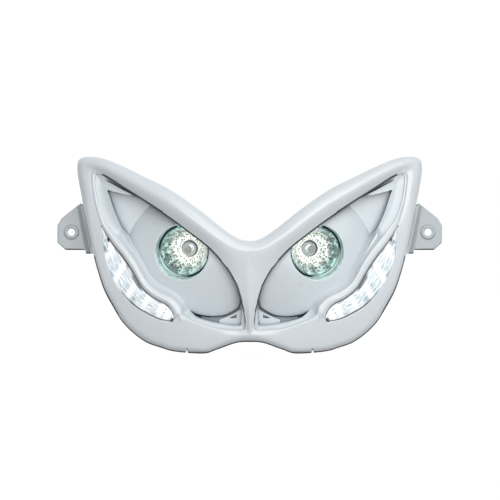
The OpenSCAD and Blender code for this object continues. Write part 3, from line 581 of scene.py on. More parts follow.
def mask_zones(centres):
    """Each face's finish on the mask: 0 for paint, 1 for painted shadow and 2 for the ears, whose darker
    paint is painted shade.

    Painted shadow lies on the last of the eye's lip, under the brow and beside the nose, on the back of the
    rolled edge below the ears, and on the lower edges of the ears and their flares. On the lip and the roll
    it is told by how near the faces lie, seen from the front, to the eye's edge and to the outer edge.
    """
    left = on_left(centres)
    flat = left[:, [0, 2]]
    rim = Stations(np.arange(RIM_FROM, RIM_TO, 1 / 24)).outer
    behind = left[:, 1] - face_y(flat)
    on_ear = (left[:, 1] > -EAR_THICK - EAR_BOSS[1] - 0.1) & (left[:, 0] < EAR_HOLE[0] + 21)
    shaded_ear_edge = on_ear & (left[:, 2] < np.where(left[:, 0] < FLARE_X, EAR_LOW_EDGE, FLARE_LOW_EDGE))
    shadow_faces = shaded_ear_edge
    for first, last, width in LIP_SHADE_EDGES:
        eye = Stations(np.arange(first, last + 0.01, 1 / 24)).eye
        shadow_faces = shadow_faces | (close_to(flat, eye, width) & (behind < LIP_SHADE_DEPTH))
    taper = np.clip((RIM_SHADE_TOP - left[:, 2]) / RIM_SHADE_TAPER, 0, 1)
    shadow_faces |= close_to(flat, rim, RIM_SHADE_WIDTH) & (behind < RIM_SHADE_DEPTH * taper)
    return np.where(shadow_faces, 1, np.where(on_ear, 2, 0))


def eyeball_zones(centres):
    """Each face's finish on the eyeball: 0 for the moulding, 1 for the painted light on the wall of the
    lamp's bore, close to the lamp's axis, 2 for painted shadow in the gap below: on the plate close to
    the dome's foot, in the gap's tip and behind the web's window, and 3 for the painted half shade in
    which the line at the dome's foot goes on towards the nose."""
    left = on_left(centres)
    local = (left - LAMP_FACE) @ LAMP_TURN
    reach = np.linalg.norm(local[:, :2], axis=1)
    bore = (reach < BORE_R + 0.35) & (reach > SEAT_R - 0.5) & (local[:, 2] > -RIM_THICK - 0.5)
    height = ((left - PLATE_FROM) @ PLATE_TURN)[:, 2]
    below = (np.abs(height) < 0.3) & (left[:, 0] > GAP_X) & (left[:, 2] < GAP_Z)
    foot = ball_edge_flat(np.arange(len(BALL_EDGE) * 16) / 16)
    flat = left[:, [0, 2]]
    line = close_to(flat, foot, GAP_LINE)
    far = ~close_to(flat, foot, GAP_NEAR - 0.5)
    window = far & (flat[:, 0] > WEB_WINDOW[0, 0] - 2) & (flat[:, 0] < WEB_WINDOW[1, 0] + 1)
    gap = below & (window | (left[:, 0] < GAP_TIP_X) | (line & (left[:, 0] < GAP_DARK_X)))
    return np.where(bore, 1, np.where(gap, 2, np.where(below & line, 3, 0)))


# Finishes

def srgb(red, green, blue):
    """Linear colour of three numbers from 0 to 255 as read off a picture."""
    values = np.array([red, green, blue]) / 255
    linear = np.where(values <= 0.04045, values / 12.92, ((values + 0.055) / 1.055) ** 2.4)
    return tuple(float(v) for v in linear)


class Finish:
    """One procedural material: a Principled shader with patterns wired into it."""

    def __init__(self, name, colour, **sockets):
        self.material = bpy.data.materials.new(name)
        self.material.use_nodes = True
        self.tree = self.material.node_tree
        self.shader = self.tree.nodes["Principled BSDF"]
        self.shader.inputs["Base Color"].default_value = (*colour, 1)
        for socket, value in sockets.items():
            self.shader.inputs[socket.replace("_", " ")].default_value = value
        self.place = self.tree.nodes.new("ShaderNodeTexCoord").outputs["Object"]

    def node(self, kind, **values):
        made = self.tree.nodes.new(kind)
        for key, value in values.items():
            setattr(made, key, value)
        return made

    def link(self, a, b):
        self.tree.links.new(a, b)

    def noise(self, scale, detail=3.0, vector=None):
        """Soft random pattern, scale patches to a metre, on the object or on other places."""
        made = self.node("ShaderNodeTexNoise")
        made.inputs["Scale"].default_value = scale
        made.inputs["Detail"].default_value = detail
        self.link(vector or self.place, made.inputs["Vector"])
        return made.outputs["Fac"]

    def ramp(self, factor, *stops):
        """Colour that runs through the stops, each a position and a colour."""
        made = self.node("ShaderNodeValToRGB")
        elements = made.color_ramp.elements
        while len(elements) < len(stops):
            elements.new(0.5)
        for element, (position, colour) in zip(elements, stops):
            element.position = position
            element.color = (*colour, 1)
        self.link(factor, made.inputs["Fac"])
        return made.outputs["Color"]

    def spread(self, factor, low, high, start=0.3, end=0.7):
        """Number that goes from low to high while the factor goes from start to end."""
        made = self.node("ShaderNodeMapRange")
        for key, value in (("From Min", start), ("From Max", end), ("To Min", low), ("To Max", high)):
            made.inputs[key].default_value = value
        self.link(factor, made.inputs["Value"])
        return made.outputs["Result"]

    def colour(self, source):
        self.link(source, self.shader.inputs["Base Color"])
        return self

    def roughness(self, source):
        self.link(source, self.shader.inputs["Roughness"])
        return self

    def bump(self, height, strength, depth_mm):
        """Fine relief from a pattern, laid over the relief that is there already."""
        made = self.node("ShaderNodeBump")
        made.inputs["Strength"].default_value = strength
        made.inputs["Distance"].default_value = depth_mm * MM
        self.link(height, made.inputs["Height"])
        if self.shader.inputs["Normal"].is_linked:
            self.link(self.shader.inputs["Normal"].links[0].from_socket, made.inputs["Normal"])
        self.link(made.outputs["Normal"], self.shader.inputs["Normal"])
        return self

    def maths(self, operation, first, second=None):
        """Result of a Math node. Its second value is a socket, a number or left out."""
        made = self.node("ShaderNodeMath", operation=operation)
        self.link(first, made.inputs[0])
        if isinstance(second, float):
            made.inputs[1].default_value = second
        elif second is not None:
            self.link(second, made.inputs[1])
        return made.outputs["Value"]

    def vector(self, operation, source, other=(0, 0, 0), result="Vector"):
        """Result of a Vector Math node on a socket and a plain vector."""
        made = self.node("ShaderNodeVectorMath", operation=operation)
        self.link(source, made.inputs[0])
        made.inputs[1].default_value = other
        return made.outputs[result]

    def blended(self, kind, source, other, factor=None):
        """Two colours put together by a kind of blend, wholly or by a factor from 0 to 1."""
        made = self.node("ShaderNodeMix", data_type="RGBA", blend_type=kind)
        made.inputs["Factor"].default_value = 1.0
        if factor is not None:
            self.link(factor, made.inputs["Factor"])
        for colour, socket in ((source, "A"), (other, "B")):
            if isinstance(colour, tuple):
                made.inputs[socket].default_value = (*colour, 1)
            else:
                self.link(colour, made.inputs[socket])
        return made.outputs["Result"]

    def multiplied(self, source, other):
        return self.blended("MULTIPLY", source, other)

    def round_axis(self, spot, centre):
        """First and second number of a place, and its distance from an axis, centre in mm."""
        split = self.node("ShaderNodeSeparateXYZ")
        moved = self.vector("SUBTRACT", spot, (centre[0] * MM, centre[1] * MM, 0))
        self.link(moved, split.inputs["Vector"])
        flat = self.node("ShaderNodeCombineXYZ")
        self.link(split.outputs["X"], flat.inputs["X"])
        self.link(split.outputs["Y"], flat.inputs["Y"])
        reach = self.vector("LENGTH", flat.outputs["Vector"], result="Value")
        return split.outputs["X"], split.outputs["Y"], reach

    def glowing(self):
        """Gives off light in its own base colour, at the strength that its shader has."""
        self.link(self.shader.inputs["Base Color"].links[0].from_socket,
                  self.shader.inputs["Emission Color"])

    def painted_crevice_shade(self, reach_mm, dark):
        """Painted shade: darkens the base colour where other surfaces stand close, as in seams and corners.
        """
        near = self.node("ShaderNodeAmbientOcclusion", samples=12)
        near.inputs["Distance"].default_value = reach_mm * MM
        plain = self.shader.inputs["Base Color"].links[0].from_socket
        tone = self.ramp(near.outputs["AO"], (0.25, dark), (0.72, (1, 1, 1)))
        return self.colour(self.multiplied(plain, tone))

    def mottled(self, colour, other, scale):
        """Base colour that drifts softly between two near shades."""
        return self.colour(self.ramp(self.noise(scale), (0.35, colour), (0.65, other)))


def shade(colour, factor):
    """The same colour made darker or lighter, one at most."""
    return tuple(min(1.0, c * factor) for c in colour)


def paint_finish(name, colour):
    """Gloss paint: clear coat over a slightly orange-peeled, faintly mottled colour, with painted shade in
    its seams and corners.
    """
    f = Finish(name, colour, Roughness=0.38, Coat_Weight=1.0, Coat_Roughness=0.05)
    f.mottled(shade(colour, 0.985), shade(colour, 1.01), 25)
    f.roughness(f.spread(f.noise(90), 0.34, 0.42))
    # Painted shade in the paint's seams and corners
    f.painted_crevice_shade(4, srgb(92, 102, 108))
    return f.bump(f.noise(420, 2), 0.05, 0.05).material


def moulding_finish(colour):
    """Bright moulded plastic, a little softer than the paint, with painted shade in its seams and a wider,
    paler painted shade deep in recesses such as the eye's pocket under the brow.
    """
    f = Finish("white_moulding", colour, Roughness=0.3, Coat_Weight=0.5, Coat_Roughness=0.12)
    f.mottled(shade(colour, 0.98), shade(colour, 1.01), 30)
    f.roughness(f.spread(f.noise(140), 0.26, 0.36))
    # Painted shade in seams and corners
    f.painted_crevice_shade(4, srgb(66, 76, 84))
    # Wider painted shade, standing in for the brow's shadow over the eye's recess
    f.painted_crevice_shade(32, srgb(160, 168, 175))
    return f.bump(f.noise(600, 2), 0.06, 0.04).material


def bore_finish(colour):
    """Painted light on the wall of the lamp's bore: a cloudy teal-grey with paler streaks that glows
    faintly, standing in for the mirror's teal light thrown onto the wall.
    """
    f = Finish("bore_painted_glow", colour, Roughness=0.28, Coat_Weight=1.0, Coat_Roughness=0.08,
               Emission_Strength=0.3)
    f.mottled(shade(colour, 0.6), shade(colour, 1.3), 190)
    f.glowing()
    return f.bump(f.noise(260, 2), 0.3, 0.15).material


def lamp_mapping(f, side):
    """The lamp's own frame as pattern coordinates: its axis is the third one."""
    mapping = f.node("ShaderNodeMapping", vector_type="TEXTURE")
    mirror = -1.0 if side == "right" else 1.0
    turn = turn_z(-LAMP_YAW * mirror) @ turn_x(math.pi / 2 + LAMP_DIP)
    mapping.inputs["Location"].default_value = [v * MM for v in LAMP_FACE * np.array([mirror, 1, 1])]
    mapping.inputs["Rotation"].default_value = Matrix(turn.tolist()).to_euler("XYZ")
    f.link(f.place, mapping.inputs["Vector"])
    return mapping.outputs["Vector"]


def mirror_finish(side, pale, edge):
    """Facetted lamp mirror: pale in the middle, a teal film towards its edge, dark flecks, and a faint glow
    in these colours that is painted light.

    The flecks are dots in some of the cells of rings round the lamp's axis.
    """
    f = Finish(f"dichroic_glass_{side}", pale, Metallic=0.3, Roughness=0.2, Coat_Weight=1.0,
               Coat_Roughness=0.05, Emission_Strength=0.5)
    across, up, reach = f.round_axis(lamp_mapping(f, side), (0, 0))
    radial = f.ramp(f.spread(reach, 0, 1, 0, LAMP_R * MM),
                    (0.0, shade(pale, 0.6)), (0.33, shade(pale, 0.8)), (0.36, pale), (0.62, pale),
                    (0.9, edge), (1.0, shade(edge, 0.7)))
    rings = f.node("ShaderNodeCombineXYZ")
    f.link(f.maths("ARCTAN2", up, across), rings.inputs["X"])
    f.link(reach, rings.inputs["Y"])
    counted = f.vector("MULTIPLY", rings.outputs["Vector"],
                       (FLECKS_ROUND / (2 * math.pi), FLECK_ROWS / (LAMP_R * MM), 1))
    cells = f.node("ShaderNodeTexVoronoi", voronoi_dimensions="2D")
    cells.inputs["Scale"].default_value = 1
    cells.inputs["Randomness"].default_value = 0.8
    f.link(counted, cells.inputs["Vector"])
    tone = f.node("ShaderNodeSeparateColor")
    f.link(cells.outputs["Color"], tone.inputs["Color"])
    dots = f.ramp(cells.outputs["Distance"], (0.2, (0.01, 0.05, 0.06)), (0.42, (1, 1, 1)))
    clear = f.ramp(tone.outputs["Red"], (0.62, (0, 0, 0)), (0.8, (1, 1, 1)))
    flecks = f.blended("LIGHTEN", dots, clear)
    tints = f.ramp(tone.outputs["Green"], (0.25, shade(edge, 0.16)), (0.5, shade(edge, 0.6)),
                   (0.62, (1, 1, 1)))
    outer = f.blended("MIX", (1, 1, 1), tints,
                      f.spread(reach, 0.0, 0.9, 0.5 * LAMP_R * MM, 0.8 * LAMP_R * MM))
    f.colour(f.multiplied(f.multiplied(radial, outer), flecks))
    # Painted light: the mirror glows in its own colours, standing in for the room that it reflects
    f.glowing()
    return f.bump(cells.outputs["Distance"], 0.6, 0.5).material


def spring_finish(side, colour, dark):
    """Spring steel, dark on the upper part of the ring, where the bore shades it, and lighter on its lower
    outer part, where light falls: painted shade and light.
    """
    f = Finish(f"spring_steel_{side}", dark, Metallic=1.0, Roughness=0.35)
    mirror = -1.0 if side == "right" else 1.0
    along = f.vector("DOT_PRODUCT", lamp_mapping(f, side), (-0.7 * mirror, -0.7, 0), "Value")
    lit_side = f.spread(along, 0, 1, 14 * MM, 24 * MM)
    f.colour(f.ramp(lit_side, (0.1, dark), (0.9, colour)))
    return f.bump(f.noise(900, 2), 0.05, 0.03).material


def seat_finish(side, colour):
    """Cement with a dark arc of painted shade on one side, where the mirror's neck shades it, and a faint
    glow that is painted light.
    """
    f = Finish(f"neck_cement_{side}", colour, Roughness=0.4, Emission_Strength=0.25)
    _, _, reach = f.round_axis(lamp_mapping(f, side), SEAT_SHADE_AT)
    arc = f.ramp(f.spread(reach, 0, 1, (SEAT_SHADE_R - 0.5) * MM, SEAT_SHADE_R * MM),
                 (0.2, colour), (0.8, (0.01, 0.02, 0.02)))
    f.colour(f.multiplied(arc, f.ramp(f.noise(700), (0.3, (0.7, 0.7, 0.7)), (0.6, (1, 1, 1)))))
    # Painted light: a faint glow on the cement
    f.glowing()
    return f.bump(f.noise(900), 0.2, 0.05).material


def glass_finish(name, colour, roughness=0.03):
    """Clear moulded glass or plastic with a faint ripple."""
    f = Finish(name, colour, Roughness=roughness, IOR=1.47, Transmission_Weight=1.0)
    return f.bump(f.noise(120, 1), 0.08, 0.1).material


def lens_finish(line, strength):
    """Lit clear cover: bright cells in a row with fine lines along the strip between them.

    The pattern follows the cover's own attribute, whose first number runs along the strip and
    whose second one runs across it.
    """
    f = Finish("clear_lens", (1, 1, 1), Roughness=0.06, IOR=1.47, Transmission_Weight=0.4,
               Emission_Strength=strength)
    place = f.node("ShaderNodeAttribute", attribute_name="piece_place")
    split = f.node("ShaderNodeSeparateXYZ")
    f.link(place.outputs["Vector"], split.inputs["Vector"])

    def scaled(along, across):
        """The cover's own place, stretched along and across."""
        return f.vector("MULTIPLY", place.outputs["Vector"], (along, across, 1))

    strokes = f.ramp(f.noise(1, 2, scaled(*LENS_STROKES)), (0.36, line), (0.46, shade(line, 1.8)),
                     (0.54, (1, 1, 1)))
    wave = f.maths("COSINE", f.maths("MULTIPLY", split.outputs["X"], CHIP_COUNT * 2 * math.pi))
    cells = f.blended("MIX", strokes, (1, 1, 1), f.spread(wave, 0.0, 0.85, 0.2, 0.9))

    def patch(spot, along, across, dark, soft):
        """Dark oval on the cover: its middle, one over its half sizes, its colour and core."""
        far = f.vector("DISTANCE", scaled(along, across), (spot[0] * along, spot[1] * across, 0), "Value")
        return f.ramp(far, (soft, dark), (1.0, (1, 1, 1)))

    inner = f.ramp(split.outputs["Y"], (0.02, shade(line, 0.12)), (0.09, (1, 1, 1)))
    outer = f.ramp(split.outputs["Y"], (0.92, (1, 1, 1)), (0.97, shade(line, 0.3)))
    upper = f.ramp(split.outputs["X"], (0.42, (0, 0, 0)), (0.58, (1, 1, 1)))
    edge = f.multiplied(inner, f.blended("LIGHTEN", outer, upper))
    for spot in (patch((0.885, 0.1), 48, 5, shade(line, 0.02), 0.5),
                 patch((0.49, 0.1), 11, 8, shade(line, 0.5), 0.6),
                 patch((0.0, 0.75), 24, 1.6, shade(line, 0.2), 0.6)):
        edge = f.multiplied(edge, spot)
    tip = f.ramp(split.outputs["X"], (0.83, (1, 1, 1)), (0.87, shade(line, 0.3)),
                 (0.91, shade(line, 0.45)), (0.94, (1, 1, 1)))
    last = f.ramp(split.outputs["X"], (0.045, (0, 0, 0)), (0.06, (1, 1, 1)), (0.115, (1, 1, 1)),
                  (0.135, (0, 0, 0)))
    clouds = f.ramp(f.noise(240), (0.35, shade(line, 1.3)), (0.5, (1, 1, 1)))
    lit = f.multiplied(f.blended("LIGHTEN", cells, last), edge)
    f.colour(f.multiplied(lit, f.blended("LIGHTEN", tip, clouds)))
    f.glowing()
    return f.material


def metal_finish(name, colour, roughness, grain=260):
    """Plated metal with fine uneven polish."""
    f = Finish(name, colour, Metallic=1.0, Roughness=roughness)
    f.mottled(shade(colour, 0.94), shade(colour, 1.03), grain / 3)
    f.roughness(f.spread(f.noise(grain), roughness * 0.8, roughness * 1.3))
    return f.bump(f.noise(grain * 4, 2), 0.05, 0.03).material


def plastic_finish(name, colour, roughness, grain, depth_mm, strength=0.25):
    """Moulded plastic, ceramic or rubber with a fine moulded grain."""
    f = Finish(name, colour, Roughness=roughness)
    f.mottled(shade(colour, 0.88), shade(colour, 1.1), 40)
    f.roughness(f.spread(f.noise(grain / 2), roughness * 0.85, roughness * 1.1))
    return f.bump(f.noise(grain, 4), strength, depth_mm).material


def glow_finish(name, colour, strength):
    """Lit surface whose light dims slightly between fine dots."""
    f = Finish(name, colour, Roughness=0.5, Emission_Strength=strength)
    f.link(f.ramp(f.noise(500), (0.3, shade(colour, 0.92)), (0.7, colour)),
           f.shader.inputs["Emission Color"])
    return f.material


def dress(names, material):
    """Gives CAD nodes that keep their own mesh their finish."""
    for name in names:
        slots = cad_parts[name].data.materials
        slots.clear()
        slots.append(material)


# Settings

class MaskSettings(bpy.types.PropertyGroup):
    # Painted shadow: colour of the dark line on the eye's lip, on the roll's back below the ears and on the
    # ears' lower edges
    seam: bpy.props.FloatVectorProperty(
        name="Seam", description="Colour of the unpainted edge behind the eye's lip", subtype="COLOR",
        default=srgb(78, 86, 91), min=0, max=1)
    paint: bpy.props.FloatVectorProperty(
        name="Paint", description="Colour of the mask's gloss paint", subtype="COLOR",
        default=srgb(216, 222, 226), min=0, max=1)
    # Painted shade: the ears get a darker copy of the mask's paint
    ears: bpy.props.FloatVectorProperty(
        name="Ears", description="Colour of the thinner coat on the fixing ears", subtype="COLOR",
        default=srgb(156, 165, 168), min=0, max=1)
    edge_round: bpy.props.FloatProperty(
        name="Window edge", description="Radius of the light strip window's edges",
        unit="LENGTH", default=0.0007, min=0.0002, max=0.001)
    detail: bpy.props.IntProperty(
        name="Rows", description="Rows of skin from one station to the next", default=14, min=4, max=16)


class EyeSettings(bpy.types.PropertyGroup):
    moulding: bpy.props.FloatVectorProperty(
        name="Moulding", description="Colour of the eyeballs and their bezels", subtype="COLOR",
        default=srgb(212, 220, 225), min=0, max=1)
    mouth_round: bpy.props.FloatProperty(
        name="Mouth edge", description="Radius of the edge of the lamp's bore",
        unit="LENGTH", default=0.0012, min=0.0004, max=0.002)
    # Painted light: colour of the glow and reflection painted on the lamps' bores
    film: bpy.props.FloatVectorProperty(
        name="Bore film", description="Colour of the bright film in the lamps' bores", subtype="COLOR",
        default=srgb(186, 212, 210), min=0, max=1)


class LampSettings(bpy.types.PropertyGroup):
    pale: bpy.props.FloatVectorProperty(
        name="Mirror middle", description="Colour of the mirror round its capsule", subtype="COLOR",
        default=srgb(252, 252, 244), min=0, max=1)
    edge: bpy.props.FloatVectorProperty(
        name="Mirror edge", description="Colour of the film near the mirror's rim", subtype="COLOR",
        default=srgb(168, 212, 206), min=0, max=1)
    facets: bpy.props.IntProperty(
        name="Facets", description="Number of facets round the mirror", default=36, min=16, max=60)
    rows: bpy.props.IntProperty(
        name="Facet rows", description="Rows of facets from rim to neck", default=11, min=6, max=20)


class StripSettings(bpy.types.PropertyGroup):
    line: bpy.props.FloatVectorProperty(
        name="Rib lines", description="Colour of the fine lines in the strips' covers", subtype="COLOR",
        default=srgb(146, 160, 168), min=0, max=1)
    lens_strength: bpy.props.FloatProperty(
        name="Cover strength", description="Strength of the light that the cover gives off",
        default=0.22, min=0, max=5)
    glow: bpy.props.FloatVectorProperty(
        name="Glow", description="Colour of the strips' light", subtype="COLOR",
        default=(1.0, 1.0, 1.0), min=0, max=1)
    chip_strength: bpy.props.FloatProperty(
        name="Chip strength", description="Strength of each chip's light", default=0.9, min=0, max=20)
    # Painted light: the tray's glow stands in for the chips' light that it throws back
    tray_strength: bpy.props.FloatProperty(
        name="Tray strength", description="Strength of the light the tray throws back",
        default=0.15, min=0, max=5)


class BackSettings(bpy.types.PropertyGroup):
    housing: bpy.props.FloatVectorProperty(
        name="Housing", description="Colour of the rear housing", subtype="COLOR",
        default=srgb(46, 47, 49), min=0, max=1)
    rubber: bpy.props.FloatVectorProperty(
        name="Rubber", description="Colour of the caps and the gland", subtype="COLOR",
        default=srgb(30, 30, 31), min=0, max=1)


class StageSettings(bpy.types.PropertyGroup):
    distance: bpy.props.FloatProperty(
        name="Camera distance", description="Distance from the camera to the middle of the part",
        unit="LENGTH", default=6.0, min=0.8, max=12)
    view_width: bpy.props.FloatProperty(
        name="View width", description="Width that the camera sees at the part", unit="LENGTH",
        default=0.515, min=0.3, max=2)
    elevation: bpy.props.FloatProperty(
        name="Camera height angle", description="Angle at which the camera looks down",
        subtype="ANGLE", default=math.radians(1), min=-0.2, max=0.6)
    key_power: bpy.props.FloatProperty(
        name="Softbox power", description="Power of the light above the camera", unit="POWER",
        default=9, min=0, max=200)
    fill_power: bpy.props.FloatProperty(
        name="Fill power", description="Power of the light beside the camera", unit="POWER",
        default=54, min=0, max=200)
    room: bpy.props.FloatProperty(
        name="Room light", description="Strength of the light from all round", default=0.5, min=0, max=2)


# Pieces

def mask_half(detail, edge_round):
    """Left half of the mask as one closed skin with its window.

    Each section runs from the lip's back round the lip's quarter circle, over the crown, down
    the roll and the side wall, and back along the lining. Sections follow the stations.
    """
    t = np.concatenate([np.arange(len(STATIONS) * detail) / detail,
                        STRIP_FROM + STRIP_END_LENGTH * np.linspace(0, 1, 14)[1:] ** 2,
                        NOTCH_T + NOTCH_HALF * np.linspace(-1.2, 1.2, 13)])
    t = np.unique(np.round(t, 6))
    s = Stations(t)
    ones = np.ones((len(t), 1))
    open_here = ((t > STRIP_FROM - 1e-9) & (t < STRIP_TO + 1e-9)).astype(float)[:, None]
    lip = np.radians(np.linspace(0, 90, 8))[None, :] * ones
    lip_r = LIP_RADIUS * (1 - np.cos(lip))
    lip_points = at(s.place(lip_r), LIP_RADIUS * (np.sin(lip) - 1))
    a, b, e = s.a[:, None], s.b[:, None], edge_round
    bend = np.radians([30, 60, 90])[None, :]
    near = mix(LIP_RADIUS, a - e, np.linspace(0, 1, 11)[None, 1:])
    near_bend = a - e + e * np.sin(bend)
    middle = mix(a, b, np.linspace(0, 1, 10)[None, 1:-1])
    far_bend = b + e - e * np.sin(bend[:, ::-1])
    far = mix(b + e, s.length[:, None], np.linspace(0, 1, 16)[None])
    r = np.concatenate([near, near_bend, middle, far_bend, far], 1)
    dip = np.concatenate([0 * near, ones * e * (1 - np.cos(bend)), 0 * middle,
                          ones * e * (1 - np.cos(bend[:, ::-1])), 0 * far], 1) * open_here
    crown = s.crown(r, dip)
    roll = s.roll(np.radians(np.linspace(0, 90, 13))[None, 1:] * ones, 0.0)
    back = [s.skirt(0.0, 6.0), s.skirt(0.0, 0.5), s.skirt(0.5, 0.0), s.skirt(WALL - 0.5, 0.0),
            s.skirt(WALL, 0.5)]
    inner_roll = s.roll(np.radians([90, 60, 30, 0])[None] * ones, WALL)
    lining_r = np.concatenate([b, (a + b) / 2, a], 1)
    lining = s.crown(lining_r, WALL)
    end = np.concatenate([s.crown(ones * WALL, WALL), at(s.place(ones * WALL), -LIP_DEPTH * ones),
                          at(s.place(ones * 0), -LIP_DEPTH * ones)], 1)
    section = np.concatenate([lip_points, crown, roll, *back, inner_roll, lining, end], 1)
    m, n = section.shape[:2]
    skin_a = lip_points.shape[1] + near.shape[1] + 2
    skin_b = skin_a + middle.shape[1] + 1
    crest = lip_points.shape[1] + crown.shape[1] - 1
    lining_crest = crest + roll.shape[1] + len(back) + 4
    lining_b, lining_a = lining_crest + 1, lining_crest + 3
    row = t[:, None] + 1e-7
    column = np.arange(n)[None, :]
    on_nose = (row >= BROW) & (row < CHIN) & (column >= crest) & (column < lining_crest)
    in_strip = (row >= STRIP_FROM) & (row < STRIP_TO)
    cut = in_strip & (((column >= skin_a) & (column < skin_b))
                      | ((column >= lining_b) & (column < lining_a)))
    faces = [grid_faces(m, n, True, True, ~(on_nose | cut))]
    first, last = (int(np.argmin(np.abs(t - end))) for end in (STRIP_FROM, STRIP_TO))
    k = np.arange(first, last)
    for p, q in ((skin_a, lining_a), (lining_b, skin_b)):
        faces.append(np.stack([k * n + p, k * n + q, (k + 1) * n + q, (k + 1) * n + p], -1))
    rim = np.concatenate([np.arange(skin_a, skin_b + 1), np.arange(lining_b, lining_a + 1)])
    faces.append((first * n + rim)[None])
    faces.append((last * n + rim[::-1])[None])
    return section.reshape(-1, 3), faces


def rounded_corner(a, b, c, r, steps=6):
    """Arc of radius r that rounds the corner b of the path a, b, c."""
    u, v = unit(a - b), unit(c - b)
    half = math.acos(float(u @ v)) / 2
    centre = b + unit(u + v) * r / math.sin(half)
    start, end = b + u * r / math.tan(half), b + v * r / math.tan(half)
    f = np.linspace(0, 1, steps)[:, None]
    return centre + r * unit(mix(start, end, f) - centre)


def reach_by_angle(outline, centre, angle):
    """Distance from the centre to a closed outline along each angle, by dense sampling."""
    f = np.linspace(0, 1, 40, endpoint=False)[None, :, None]
    points = mix(outline[:, None], np.roll(outline, -1, 0)[:, None], f).reshape(-1, 2) - centre
    where = np.arctan2(points[:, 1], points[:, 0])
    order = np.argsort(where)
    return np.interp(angle, where[order], np.linalg.norm(points[order], axis=1), period=2 * math.pi)


def ear():
    """Flat ear round its hole: rings of one angle each, out from the hole's wall, over the
    raised boss to the rounded outline, and back behind."""
    corners = EAR_HOLE + EAR_CORNERS
    arcs = [rounded_corner(corners[k - 1], corners[k], corners[k + 1], EAR_CORNER_R)
            for k in range(1, len(corners) - 1)]
    side = Stations(np.linspace(EAR_FROM, EAR_TO, 12)).outer + np.array([WALL / 2, 0])
    outline = np.concatenate([corners[:1], *arcs, corners[-1:], side])
    angle = np.linspace(0, 2 * math.pi, 240, endpoint=False)
    reach = reach_by_angle(outline, EAR_HOLE, angle)
    hole, boss = EAR_HOLE_R, EAR_HOLE_R + EAR_BOSS[0]
    front = -EAR_THICK - EAR_BOSS[1]
    rows = [(hole + 0.4, 0), (hole, -0.4), (hole, front + 0.5), (hole + 0.15, front + 0.15),
            (hole + 0.5, front), (boss - 0.6, front), (boss - 0.15, front + 0.15),
            (boss, front + 0.6), (boss + 0.1, -EAR_THICK - 0.4), (boss + 0.6, -EAR_THICK)]
    rim = [(1.5, -EAR_THICK), (0.9, -EAR_THICK), (0.25, -EAR_THICK + 0.25), (0, -EAR_THICK + 0.9),
           (0, -0.6), (0.2, -0.15), (0.6, 0)]
    radii = [np.full(len(angle), r) for r, _ in rows] + [reach - inset for inset, _ in rim]
    depth = [y for _, y in rows + rim]
    rings = np.stack([np.stack([EAR_HOLE[0] + r * np.cos(angle), np.full(len(angle), y),
                                EAR_HOLE[1] + r * np.sin(angle)], -1) for r, y in zip(radii, depth)])
    return loft(rings, closed=True)


def ear_flare():
    """Fillet between the ear and the side wall, a quarter circle carried along the wall."""
    p = Stations(np.linspace(EAR_FROM, EAR_TO, 64)).outer
    x, z, y, f = p[:, 0], p[:, 1], -EAR_THICK, EAR_FILLET
    arc = np.radians(np.linspace(0, 90, 13))
    outline = [(WALL / 2, y + 1), (WALL / 2, y - f)]
    outline += [(-f * (1 - math.cos(a)), y - f * (1 - math.sin(a))) for a in arc]
    outline += [(-f, y + 1)]
    rings = np.stack([np.stack([x + dx, np.full(len(x), dy), z], -1) for dx, dy in outline], 1)
    return loft(rings)


def ball_edge_flat(k):
    """Dome outline in flat places: a closed curve through its points."""
    return closed_curve(BALL_EDGE, k)


def on_plate(flat):
    """The plate's own two numbers for flat places seen from the front."""
    return np.stack([(flat[:, 0] - BALL_AT[0]) / math.cos(PLATE_YAW), flat[:, 1] - BALL_AT[1]], -1)


def dome_point(flat, sink):
    """Point of the dome, sunk a little, over flat places in x and z."""
    p = on_plate(flat)
    return to_plate(np.concatenate([p, np.maximum(ball_height_at(p) - sink, 0.1)[:, None]], 1))


